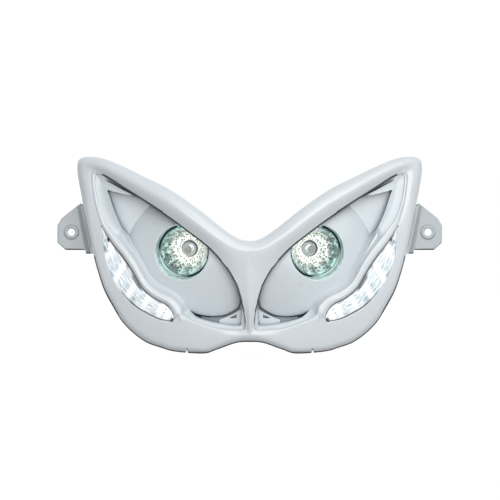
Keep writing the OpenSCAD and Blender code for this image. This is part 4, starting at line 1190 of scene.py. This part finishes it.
def bezel():
    """Ring behind the eye's edge, one section carried round it.

    Where it shows, the section leaves the lip just below the mask's skin, dips in a shallow
    valley and ends either over the plate's pocket, with a rounded edge and a wall down to the
    plate, or on the dome. Under the brow and the nose it is a narrow flat ledge.
    """
    t = np.arange(len(STATIONS) * 12) / 12
    s = Stations(t)
    rows = closed_curve(BEZEL_ROWS, t)
    linear = BEZEL_ROWS[:, 3]
    i = np.floor(t).astype(int)
    share = mix(linear[i], linear[(i + 1) % len(linear)], t - i)[:, None]
    b, q = rows[:, :2], s.place(rows[:, 2:3])[:, 0]
    e = s.eye
    w = b + BEZEL_WALL * unit(q - b)
    d = LIP_DEPTH + CLEARANCE
    low = d + BEZEL_STEP

    def to_plate_depth(p):
        """Points just in front of the eyeball's plate over flat places."""
        return np.stack([p[:, 0], plate_y(p[:, 0]) - CLEARANCE, p[:, 1]], -1)

    edge = ball_edge_flat(np.arange(len(BALL_EDGE) * 24) / 24)
    nearest = edge[np.argmin(((b[:, None] - edge[None]) ** 2).sum(-1), 1)]
    onto = nearest + 0.9 * unit(nearest - e)
    dome = dome_point(onto, 0.15)
    joins = rise_and_fall(t, *BEZEL_JOINS)[:, None]
    after, fade, before, rise = BEZEL_FLUSH
    flush = np.clip(smoothstep((t - after) / fade) + smoothstep((before - t) / rise), 0, 1)[:, None]
    trench = TRENCH_DEPTH * rise_and_fall(t, *BEZEL_TRENCH)[:, None]
    down = np.array([0, 1.0, 0])

    def lower(p, shallow, deep):
        """Points below the face, less deep where the bezel lies flush with it."""
        return at(p, -mix(deep, shallow, flush[:, 0]))

    start = lower(e, 2.2, d)
    over_edge = lower(b, 4.2, low)
    end = mix(over_edge, dome, joins)
    run = []
    for f, sunk in ((0.12, 1.0), (0.24, 0.9), (0.34, 0.05), (0.5, 0), (0.7, 0), (0.86, 0)):
        sag = 1.3 * math.sin(math.pi * f) * flush + sunk * trench
        run.append(mix(start, end, f) + sag * down)
    lip = mix(end + np.array([0, 0.5, 0]), end, joins)
    wall_top = mix(at(b, -low - BEZEL_WALL), to_plate_depth(b), share)
    wall_back = mix(at(w, -low - BEZEL_WALL - 0.2), to_plate_depth(w), share)
    ring = [at(q, -d), at(mix(q, e, 0.7), -d) + trench * down,
            lower(e + 0.5 * s.u, 3.4, d) + trench * down,
            start + trench * down, *run, end,
            lip + 0.15 * np.stack([(b - q)[:, 0], 0 * b[:, 0], (b - q)[:, 1]], -1) / 9,
            mix(wall_top, end + np.array([0, 1.2, 0]), joins), wall_back,
            at(w, -low - BEZEL_WALL) + trench * down, at(q, -d - BEZEL_WALL) + trench * down]
    return loft(np.stack(ring, 1), closed=True)


def web():
    """Small web with a three-cornered window, as rings from the window out to its outline."""
    centre = WEB_WINDOW.mean(0)
    angle = np.linspace(-math.pi, math.pi, 120, endpoint=False)
    inner = reach_by_angle(WEB_WINDOW, centre, angle)
    outer = reach_by_angle(WEB_CORNERS, centre, angle)
    front = float(face_y(WEB_WINDOW[0])) + WEB_DEPTH - WEB_THICK
    rows = [(inner, 0.0), (outer, 0.0), (outer, WEB_THICK), (inner, WEB_THICK)]
    rings = np.stack([np.stack([centre[0] + r * np.cos(angle), np.full(len(angle), front + y),
                                centre[1] + r * np.sin(angle)], -1) for r, y in rows])
    return loft(rings, closed=True)


def ball_height_at(p):
    """Height of the ball's sphere over its plate at flat places p measured from its centre."""
    return np.sqrt(np.maximum(BALL_RADIUS ** 2 - (p ** 2).sum(-1), 0)) - BALL_RADIUS + BALL_HEIGHT


def eyeball(mouth_round):
    """Dome cut by its outline, with the lamp's bore, on its plate.

    One ray for each point of the outline: from the plate's edge in to the dome's foot, up its
    side, along the sphere to the mouth, round the mouth's edge, down the bore to the lamp's
    seat and back behind.
    """
    k = np.arange(len(BALL_EDGE) * 16) / 16
    flat = closed_curve(BALL_EDGE, k)
    edge = on_plate(flat)
    centre = mouth_on_plate
    ray = unit(edge - centre)
    foot_r = math.sqrt(BALL_RADIUS ** 2 - (BALL_RADIUS - BALL_HEIGHT) ** 2)
    along = ray @ centre
    far = -along + np.sqrt(along ** 2 - centre @ centre + foot_r ** 2)
    reach = np.linalg.norm(edge - centre, axis=1)
    clip = np.minimum(reach, far - 0.05)
    foot = centre + clip[:, None] * ray

    local = np.concatenate([ray, np.zeros((len(ray), 1))], 1) @ PLATE_TURN.T @ LAMP_TURN
    angle = np.arctan2(local[:, 1], local[:, 0])
    circle = np.stack([np.cos(angle), np.sin(angle)], -1)

    def lamp_ring(r, h):
        """Circle round the lamp's axis, at a radius and a height over its glass."""
        return to_lamp(np.concatenate([r * circle, np.full((len(angle), 1), h)], 1))

    def on_ball(r):
        """Where a line along the lamp's axis at radius r meets the ball's sphere."""
        start = (lamp_ring(r, 0) - PLATE_FROM) @ PLATE_TURN
        way = LAMP_TURN[:, 2] @ PLATE_TURN
        start = start - np.array([0, 0, BALL_HEIGHT - BALL_RADIUS])
        half = start @ way
        step = -half + np.sqrt(half ** 2 - (start ** 2).sum(1) + BALL_RADIUS ** 2)
        return start + step[:, None] * way + np.array([0, 0, BALL_HEIGHT - BALL_RADIUS])

    rim = on_ball(BORE_R + mouth_round)
    rim_world, corner_world = to_plate(rim), to_plate(on_ball(BORE_R))
    below = corner_world - mouth_round * LAMP_TURN[:, 2]
    bend = [(1 - f) ** 2 * rim_world + 2 * f * (1 - f) * corner_world + f * f * below
            for f in (0.25, 0.5, 0.75)]
    dome = []
    for f in np.linspace(0, 1, 44)[1:-1]:
        p = mix(foot, rim[:, :2], f)
        dome.append(to_plate(np.concatenate([p, ball_height_at(p)[:, None]], 1)))

    def plate_ring(flat, h):
        """Ring over flat places of the plate, at one height or at a height for each place."""
        heights = np.broadcast_to(np.asarray(h, float).reshape(-1, 1), (len(flat), 1))
        return to_plate(np.concatenate([flat, heights], 1))

    top = ball_height_at(foot)
    t = np.linspace(0, len(STATIONS), 1200, endpoint=False)
    rows = closed_curve(BEZEL_ROWS, t)
    lap = Stations(t).place(rows[:, 2:3])[:, 0]
    margin = rows[:, :2] + rows[:, 4:5] * unit(lap - rows[:, :2])
    margin = on_plate(margin)
    plate_reach = reach_by_angle(margin[::4], centre, np.arctan2(ray[:, 1], ray[:, 0]))
    rim_reach = np.maximum(plate_reach, clip + 0.6)
    rim_flat = centre + rim_reach[:, None] * ray
    steps = []
    for far_out, share in ((GAP_NEAR, 0.8), (GAP_LINE, 0.5)):
        r = clip + np.minimum(far_out, share * (rim_reach - clip))
        steps.append(plate_ring(centre + r[:, None] * ray, 0))
    side = [plate_ring(foot + 0.25 * ray, 0), plate_ring(foot, np.minimum(top * 0.5, 0.25)),
            plate_ring(foot, np.maximum(top - 0.4, top * 0.6)),
            plate_ring(foot - 0.12 * ray, np.maximum(top - 0.12, top * 0.8))]
    bore = [lamp_ring(r, h) for r, h in (
        (BORE_R, 0.0), (LAMP_R + LAMP_GAP, 0.0), (LAMP_R + LAMP_GAP, -RIM_THICK), (SEAT_R, -RIM_THICK),
        (SEAT_R, -RIM_THICK - 2), (BORE_R + 2, -RIM_THICK - 2))]
    rings = [plate_ring(rim_flat, -BALL_WALL), plate_ring(rim_flat, 0), *steps, *side, *dome,
             rim_world, *bend, below, *bore, plate_ring(centre + (BORE_R + 3) * ray, -BALL_WALL)]
    return loft(np.stack(rings), closed=True)


def bowl_r(d):
    """Radius of the mirror at a depth: the square root of the way left to the neck."""
    f = (NECK_DEPTH - d) / (NECK_DEPTH - GLASS_THICK - GLASS_SEAT)
    return NECK_R + (LAMP_R - SHELL_THICK - NECK_R) * np.sqrt(np.maximum(f, 0))


def bowl_depth(f):
    """Depth at a share f of the mirror's rows, closer together near the neck."""
    return GLASS_THICK + GLASS_SEAT + (NECK_DEPTH - GLASS_THICK - GLASS_SEAT) * (1 - (1 - f) ** 2)


def mirror_bowl(facets, rows):
    """Facetted inside of the mirror: rows of points turned half a facet each, joined by
    flat triangles, and closed behind by the smooth shell's own profile."""
    f = np.linspace(0, 1, rows + 1)
    depth = bowl_depth(f)
    radius = bowl_r(depth)
    inside = [(LAMP_R - GLASS_SEAT, -GLASS_THICK - GLASS_SEAT)] + list(zip(radius, -depth))
    outside = [(NECK_R, -BASE_DEPTH), (NECK_R + SHELL_THICK, -BASE_DEPTH)]
    outside += [(min(SEAT_R - 0.3, float(bowl_r(d)) + SHELL_THICK), -d - 1.2) for d in depth[:0:-1]]
    outside += [(SEAT_R - 0.3, -RIM_THICK), (LAMP_R, -RIM_THICK + 0.1), (LAMP_R, -0.25), (LAMP_R - 0.25, 0),
                (LAMP_R - GLASS_SEAT, 0)]
    profile = np.array(inside + outside)
    n = len(profile)
    turn = np.zeros(n)
    turn[1:rows + 2] = 0.5 * (np.arange(rows + 1) % 2)
    step = 2 * math.pi / facets
    angle = (np.arange(facets)[:, None] + turn[None]) * step
    points = np.stack([profile[:, 0] * np.cos(angle), profile[:, 0] * np.sin(angle),
                       np.broadcast_to(profile[:, 1], angle.shape)], -1)
    index = np.arange(facets * n).reshape(facets, n)
    after = np.roll(index, -1, 0)
    triangles = []
    for j in range(n):
        a, b = index[:, j], index[:, (j + 1) % n]
        a2, b2 = after[:, j], after[:, (j + 1) % n]
        if turn[j] > 0 and turn[(j + 1) % n] == 0:
            triangles += [np.stack([a, b, b2], -1), np.stack([a, b2, a2], -1)]
        else:
            triangles += [np.stack([a, b, a2], -1), np.stack([b, b2, a2], -1)]
    return outward(to_lamp(points.reshape(-1, 3)), [np.concatenate(triangles)])


def quarter(r0, h0, r1, h1, steps=6):
    """Quarter ellipse from (r0, h0), which it leaves along h, to (r1, h1)."""
    a = np.linspace(0, math.pi / 2, steps)
    return np.stack([mix(r1, r0, np.cos(a)), mix(h0, h1, np.sin(a))], -1)


def front_glass():
    """Flat glass with rounded edges, turned round the lamp's axis."""
    r, top, low, e = LAMP_R - GLASS_SEAT - 0.1, -0.3, -GLASS_THICK - 0.3, 0.3
    profile = np.concatenate([[(0, low), (r - e, low), (r, low + e)],
                              quarter(r, top - e, r - e, top), [(0, top)]])
    return lathe(profile, to_lamp)


def capsule():
    """Glass capsule: a stem with a half-round end and a small drawn tip."""
    a = np.linspace(0, math.pi / 2, 12)
    top = -CAPSULE_FRONT - CAPSULE_R
    dome = np.stack([CAPSULE_R * np.cos(a), top + CAPSULE_R * np.sin(a)], -1)
    low = -BASE_DEPTH + 0.1
    return lathe(np.concatenate([[(0, low), (CAPSULE_R - 0.4, low), (CAPSULE_R, low + 0.6)], dome[:-1],
                                 [(0, dome[-1, 1])]]), to_lamp, 48)


def capsule_seat():
    """Cement ring that holds the capsule in the mirror's neck, with turned grooves on its face."""
    r = np.linspace(CAPSULE_R + 0.05, NECK_R - 0.15, 25)
    h = -NECK_DEPTH - 0.6 + 0.35 * np.cos((r - CAPSULE_R) * 2 * math.pi / 1.4)
    face = np.stack([r, h], -1)
    return lathe(np.concatenate([[(CAPSULE_R + 0.05, -BASE_DEPTH + 0.2)], face,
                                 [(NECK_R - 0.15, -BASE_DEPTH + 0.2)]]), to_lamp, 72)


def lamp_spring():
    """Open wire ring: a small circle carried round the lamp's axis, with rounded ends."""
    ends = math.radians(RING_OPEN / 2)
    angle = np.linspace(math.pi / 2 + ends, math.pi / 2 + 2 * math.pi - ends, 120)
    around = np.linspace(0, 2 * math.pi, 16, endpoint=False)
    size = np.full(len(angle), RING_WIRE_R)
    size[[0, -1]] *= 0.6
    r = LAMP_R + RING_WIRE_R + 0.2 + size[:, None] * np.cos(around)
    h = CLEARANCE + RING_WIRE_R + size[:, None] * np.sin(around)
    rings = np.stack([r * np.cos(angle)[:, None], r * np.sin(angle)[:, None], h], -1)
    points, faces = loft(rings)
    return outward(to_lamp(points), faces)


def strip_rows(count, first=0.0, last=1.0):
    """Sections along the strip's window, from a first to a last share of its length."""
    return Stations(mix(STRIP_FROM + STRIP_INSET, STRIP_TO - STRIP_INSET, np.linspace(first, last, count)))


def strip_lens():
    """Clear cover: a low crowned section with two flanges, carried along the window."""
    s = strip_rows(120)
    a, b = s.a + CLEARANCE, s.b - CLEARANCE
    w = np.minimum(LENS_THICK, 0.3 * (b - a))
    ends = [(a - STRIP_LAP, FLANGE_BACK), (a - STRIP_LAP, FLANGE_FRONT), (a, FLANGE_FRONT)]
    top = [(mix(a, b, f), CLEARANCE - (LENS_CROWN + CLEARANCE) * math.sin(math.pi * f))
           for f in np.linspace(0, 1, 15)]
    back = [(b, FLANGE_FRONT), (b + STRIP_LAP, FLANGE_FRONT), (b + STRIP_LAP, FLANGE_BACK),
            (b - w, FLANGE_BACK), (b - w, LENS_THICK), (a + w, LENS_THICK), (a + w, FLANGE_BACK)]
    rings = np.concatenate([s.under(r[:, None], d) for r, d in ends + top + back], 1)
    along = np.repeat(np.linspace(0, 1, 120)[:, None], rings.shape[1], 1)
    across = np.stack([(r - a) / (b - a) for r, _ in ends + top + back], 1)
    places = np.stack([along, across, 0 * along], -1).reshape(-1, 3)
    return loft(rings), places


def tray_sides(s, gap):
    """Distances from the eye at which the tray's sides lie, drawn in by a gap."""
    return s.a + CLEARANCE - STRIP_LAP + gap, s.b - CLEARANCE + STRIP_LAP - gap


def strip_tray():
    """Open channel: a U section with flared, rounded walls, closed at both ends."""
    s = strip_rows(100)
    low, high = tray_sides(s, 0)
    ends = np.minimum(np.arange(100), 99 - np.arange(100)) < 2
    floor = np.where(ends, TRAY_FRONT, TRAY_FLOOR)
    deep = TRAY_FLOOR + TRAY_WALL
    outline = [(low, TRAY_FRONT), (low, deep), (high, deep), (high, TRAY_FRONT),
               (high - TRAY_WALL, TRAY_FRONT), (high - TRAY_WALL, floor - 0.8 * ~ends),
               (high - TRAY_WALL - 0.8, floor), (low + TRAY_WALL + 0.8, floor),
               (low + TRAY_WALL, floor - 0.8 * ~ends), (low + TRAY_WALL, TRAY_FRONT)]
    rings = np.concatenate([s.under(r[:, None], np.broadcast_to(d, r.shape)[:, None])
                            for r, d in outline], 1)
    return loft(rings)


def strip_board():
    """Thin board that lies on the tray's floor."""
    s = strip_rows(60, 0.6 / 16, 15 / 16)
    low, high = tray_sides(s, TRAY_WALL + 2 * CLEARANCE)
    back = TRAY_FLOOR - CLEARANCE
    return loft(np.concatenate([s.under(r[:, None], d) for r, d in (
        (low, back), (low, back - BOARD_THICK), (high, back - BOARD_THICK), (high, back))], 1))


def chip_row():
    """Light chips: low rounded pads on the board, turned with the strip."""
    t = np.linspace(CHIP_FIRST, CHIP_LAST, CHIP_COUNT)
    d = TRAY_FLOOR - CLEARANCE - BOARD_THICK - 0.1
    s, ahead = Stations(t), Stations(t + 0.1)
    r = (s.a + s.b) / 2
    p = s.under(r[:, None], d)[:, 0]
    across = unit(s.under(r[:, None] + 1, d)[:, 0] - p)
    way = unit(ahead.under(((ahead.a + ahead.b) / 2)[:, None], d)[:, 0] - p)
    up = -unit(np.cross(across, way))
    up *= -np.sign(up[:, 1:2])
    way = np.cross(up, across)
    angle = np.linspace(0, 2 * math.pi, 32, endpoint=False)
    c, q = np.cos(angle), np.sin(angle)
    square = np.stack([np.sign(c) * np.abs(c) ** 0.35, np.sign(q) * np.abs(q) ** 0.35], -1) * CHIP_SIDE / 2
    rows = [(1, 0), (1, 0.7), (0.94, 0.92), (0.8, 1), (0.35, 1)]
    parts = []
    for k in range(CHIP_COUNT):
        rings = np.stack([p[k] + size * (square[:, :1] * across[k] + square[:, 1:] * way[k])
                          + up[k] * CHIP_THICK * h for size, h in rows])
        parts.append(loft(rings))
    return joined(*parts)


# Operators

class HEADLIGHT_OT_mask(bpy.types.Operator):
    """Builds the painted mask with its ears"""
    bl_idname = "headlight.mask"
    bl_label = "Painted mask"

    def execute(self, context):
        settings = context.scene.headlight_mask
        half = mask_half(settings.detail, settings.edge_round / MM)
        whole = outward(*joined(half, mirrored(half)))
        sides = [ear(), ear_flare()]
        part = joined(whole, *sides, *(mirrored(p) for p in sides))
        # Painted shadow: dark matt finish on the lip's last edge, the roll's back below the ears and the
        # ears' lower edges
        shadow_faces = plastic_finish("painted_shadow_edge", tuple(settings.seam), 0.85, 900, 0.05)
        # Painted shade: the darker copy of the paint on the ears
        ears = paint_finish("ear_shaded_paint", tuple(settings.ears))
        publish("mask", part, paint_finish("white_paint", tuple(settings.paint)), "white_paint",
                ["fascia"], more=([shadow_faces, ears], mask_zones))
        return {"FINISHED"}


class HEADLIGHT_OT_eyes(bpy.types.Operator):
    """Builds the eyeballs and the bezels round them"""
    bl_idname = "headlight.eyes"
    bl_label = "Eyeballs and bezels"

    def execute(self, context):
        settings = context.scene.headlight_eyes
        material = moulding_finish(tuple(settings.moulding))
        # Painted light on the walls of the lamps' bores
        others = [bore_finish(tuple(settings.film)),
                  # Painted shadow and painted half shade on the plate in the gap below the dome
                  plastic_finish("gap_painted_shadow", srgb(70, 78, 84), 0.8, 900, 0.05),
                  plastic_finish("gap_painted_half_shadow", srgb(136, 144, 150), 0.8, 900, 0.05)]
        publish_pair("eyeball_skin", eyeball(settings.mouth_round / MM), material, "white_moulding",
                     "eyeball", more=(others, eyeball_zones))
        publish_pair("bezel_ring", joined(bezel(), web()), material, "white_moulding", "eye_bezel")
        return {"FINISHED"}


class HEADLIGHT_OT_lamps(bpy.types.Operator):
    """Builds the lamps: mirror, glass, capsule and spring, and finishes base and socket"""
    bl_idname = "headlight.lamps"
    bl_label = "Lamps"

    def execute(self, context):
        settings = context.scene.headlight_lamps
        mirrors = {side: mirror_finish(side, tuple(settings.pale), tuple(settings.edge))
                   for side in ("left", "right")}
        publish_pair("mirror", mirror_bowl(settings.facets, settings.rows), mirrors, "dichroic_glass",
                     "lamp_reflector", angle=0)
        publish_pair("front_glass", front_glass(), glass_finish("clear_glass", (1, 1, 1)), "clear_glass",
                     "lamp_glass")
        publish_pair("capsule", capsule(), glass_finish("capsule_glass", (0.95, 0.97, 1.0), 0.1),
                     "capsule_glass", "lamp_capsule")
        seats = {side: seat_finish(side, srgb(196, 204, 202)) for side in ("left", "right")}
        publish_pair("capsule_seat", capsule_seat(), seats, "white_ceramic", "")
        springs = {side: spring_finish(side, srgb(170, 186, 184), srgb(24, 42, 46))
                   for side in ("left", "right")}
        publish_pair("spring", lamp_spring(), springs, "spring_steel", "lamp_ring", angle=60)
        ceramic = plastic_finish("white_ceramic", srgb(225, 221, 210), 0.55, 900, 0.05)
        dress(["left_lamp_base", "right_lamp_base", "left_lamp_socket", "right_lamp_socket"], ceramic)
        return {"FINISHED"}


class HEADLIGHT_OT_strips(bpy.types.Operator):
    """Builds the light strips: lens, tray, board and chips"""
    bl_idname = "headlight.strips"
    bl_label = "Light strips"

    def execute(self, context):
        settings = context.scene.headlight_strips
        glow = tuple(settings.glow)
        lens, places = strip_lens()
        cover = lens_finish(tuple(settings.line), settings.lens_strength)
        publish_pair("strip_cover", lens, cover, "clear_lens", "strip_lens", attribute=places)
        # Painted light: the tray glows, standing in for the chips' light that it throws back
        tray = glow_finish("chromed_tray", glow, settings.tray_strength)
        publish_pair("strip_channel", strip_tray(), tray, "chromed_tray", "strip_tray")
        card = plastic_finish("circuit_board", srgb(235, 238, 240), 0.5, 700, 0.03)
        publish_pair("strip_card", strip_board(), card, "circuit_board", "strip_board")
        chips = glow_finish("chip_glow", glow, settings.chip_strength)
        publish_pair("strip_lights", chip_row(), chips, "chip_glow", "strip_chips")
        return {"FINISHED"}


class HEADLIGHT_OT_back(bpy.types.Operator):
    """Finishes the rear housing, its caps and gland, and the screws"""
    bl_idname = "headlight.back"
    bl_label = "Housing and fittings"

    def execute(self, context):
        settings = context.scene.headlight_back
        dress(["rear_housing"], plastic_finish("black_housing", tuple(settings.housing), 0.5, 1100, 0.12))
        dress(["left_dust_cap", "right_dust_cap", "cable_grommet"],
              plastic_finish("black_rubber", tuple(settings.rubber), 0.75, 1500, 0.1))
        dress(["housing_screws", "eyeball_screws"], metal_finish("zinc_screws", srgb(196, 197, 190), 0.32))
        return {"FINISHED"}


def plainly_seen(nodes, links):
    """Light Path node, and one for rays from the camera, through glass and off gloss."""
    path = nodes.new("ShaderNodeLightPath")
    seen = path.outputs["Is Camera Ray"]
    for kind in ("Is Transmission Ray", "Is Glossy Ray"):
        either = nodes.new("ShaderNodeMath")
        either.operation = "MAXIMUM"
        links.new(seen, either.inputs[0])
        links.new(path.outputs[kind], either.inputs[1])
        seen = either.outputs[0]
    return path, seen


class HEADLIGHT_OT_stage(bpy.types.Operator):
    """Sets the floor, the lights and the camera"""
    bl_idname = "headlight.stage"
    bl_label = "Studio"

    def execute(self, context):
        settings = context.scene.headlight_stage
        middle = np.array(STAGE_MIDDLE)
        self.floor(cad_box[0][2])
        self.light("softbox", *SOFTBOX, middle, settings.key_power)
        self.light("fill", *FILL, middle, settings.fill_power)
        self.room(context, settings.room)
        eye = middle + settings.distance * np.array([0, -math.cos(settings.elevation),
                                                     math.sin(settings.elevation)])
        camera = bpy.data.cameras.new("camera")
        camera.sensor_width = 36
        camera.lens = camera.sensor_width * settings.distance / settings.view_width
        camera.clip_start = 0.01
        holder = bpy.data.objects.new("camera", camera)
        holder.location = eye
        holder.rotation_euler = (math.pi / 2 - settings.elevation, 0, 0)
        context.scene.collection.objects.link(holder)
        context.scene.camera = holder
        context.scene.view_settings.view_transform = "Standard"
        return {"FINISHED"}

    @staticmethod
    def floor(height):
        """Pale flat floor, a grid wide enough to fill the view from any side."""
        across = np.linspace(-FLOOR_HALF, FLOOR_HALF, 9)
        x, y = np.meshgrid(across, across, indexing="ij")
        points = np.stack([x, y, np.full_like(x, height - FLOOR_GAP)], -1).reshape(-1, 3)
        mesh = bpy.data.meshes.new("floor")
        mesh.from_pydata(points.tolist(), [], grid_faces(9, 9, False, False)[:, ::-1].tolist())
        floor = bpy.data.objects.new("floor", mesh)
        bpy.context.scene.collection.objects.link(floor)
        material = bpy.data.materials.new("studio_floor")
        material.use_nodes = True
        nodes, links = material.node_tree.nodes, material.node_tree.links
        nodes.clear()
        out = nodes.new("ShaderNodeOutputMaterial")
        matt = nodes.new("ShaderNodeBsdfDiffuse")
        tone = nodes.new("ShaderNodeMix")
        tone.data_type = "RGBA"
        tone.inputs["A"].default_value = (FLOOR_TONE, FLOOR_TONE, FLOOR_TONE, 1)
        tone.inputs["B"].default_value = (FLOOR_BOUNCE, FLOOR_BOUNCE, FLOOR_BOUNCE, 1)
        links.new(tone.outputs["Result"], matt.inputs["Color"])
        white = nodes.new("ShaderNodeEmission")
        white.inputs["Color"].default_value = (1, 1, 1, 1)
        white.inputs["Strength"].default_value = FLOOR_WHITE
        path, seen = plainly_seen(nodes, links)
        links.new(path.outputs["Is Diffuse Ray"], tone.inputs["Factor"])
        share = nodes.new("ShaderNodeMath")
        share.operation = "MULTIPLY"
        share.inputs[1].default_value = FLOOR_SHARE
        links.new(seen, share.inputs[0])
        blend = nodes.new("ShaderNodeMixShader")
        links.new(share.outputs[0], blend.inputs["Fac"])
        links.new(matt.outputs["BSDF"], blend.inputs[1])
        links.new(white.outputs["Emission"], blend.inputs[2])
        links.new(blend.outputs["Shader"], out.inputs["Surface"])
        mesh.materials.append(material)

    @staticmethod
    def light(name, place, size, target, power):
        """Soft rectangular light that faces the target and isn't seen itself."""
        data = bpy.data.lights.new(name, "AREA")
        data.shape = "RECTANGLE"
        data.size, data.size_y = size
        data.energy = power
        lamp = bpy.data.objects.new(name, data)
        lamp.location = place
        lamp.visible_camera = False
        way = Vector(target - np.array(place))
        lamp.rotation_euler = way.to_track_quat("-Z", "Y").to_euler()
        bpy.context.scene.collection.objects.link(lamp)

    @staticmethod
    def room(context, strength):
        """Even light from all round, which looks white where it is seen."""
        world = bpy.data.worlds.new("room")
        world.use_nodes = True
        nodes, links = world.node_tree.nodes, world.node_tree.links
        back = nodes["Background"]
        back.inputs["Color"].default_value = ROOM_TINT
        _, seen = plainly_seen(nodes, links)
        level = nodes.new("ShaderNodeMapRange")
        level.inputs["To Min"].default_value = strength
        level.inputs["To Max"].default_value = ROOM_SEEN
        links.new(seen, level.inputs["Value"])
        links.new(level.outputs["Result"], back.inputs["Strength"])
        context.scene.world = world


class HEADLIGHT_PT_panel(bpy.types.Panel):
    """Lists the pieces and their settings"""
    bl_idname = "HEADLIGHT_PT_panel"
    bl_label = "Headlight"
    bl_space_type = "VIEW_3D"
    bl_region_type = "UI"
    bl_category = "Headlight"

    def draw(self, context):
        for operator, holder in STEPS:
            box = self.layout.box()
            box.operator(operator.bl_idname)
            settings = getattr(context.scene, holder)
            for name in settings.__annotations__:
                box.prop(settings, name)


STEPS = [
    (HEADLIGHT_OT_mask, "headlight_mask"),
    (HEADLIGHT_OT_eyes, "headlight_eyes"),
    (HEADLIGHT_OT_lamps, "headlight_lamps"),
    (HEADLIGHT_OT_strips, "headlight_strips"),
    (HEADLIGHT_OT_back, "headlight_back"),
    (HEADLIGHT_OT_stage, "headlight_stage"),
]
GROUPS = {
    "headlight_mask": MaskSettings,
    "headlight_eyes": EyeSettings,
    "headlight_lamps": LampSettings,
    "headlight_strips": StripSettings,
    "headlight_back": BackSettings,
    "headlight_stage": StageSettings,
}


def register():
    for name, group in GROUPS.items():
        bpy.utils.register_class(group)
        setattr(bpy.types.Scene, name, bpy.props.PointerProperty(type=group))
    for operator, _ in STEPS:
        bpy.utils.register_class(operator)
    bpy.utils.register_class(HEADLIGHT_PT_panel)


def unregister():
    bpy.utils.unregister_class(HEADLIGHT_PT_panel)
    for operator, _ in STEPS:
        bpy.utils.unregister_class(operator)
    for name, group in GROUPS.items():
        delattr(bpy.types.Scene, name)
        bpy.utils.unregister_class(group)


def main():
    """Registers the classes and runs the operators in order."""
    register()
    bpy.ops.headlight.mask()
    bpy.ops.headlight.eyes()
    bpy.ops.headlight.lamps()
    bpy.ops.headlight.strips()
    bpy.ops.headlight.back()
    bpy.ops.headlight.stage()
    bpy.context.view_layer.update()


if __name__ == "__main__":
    main()
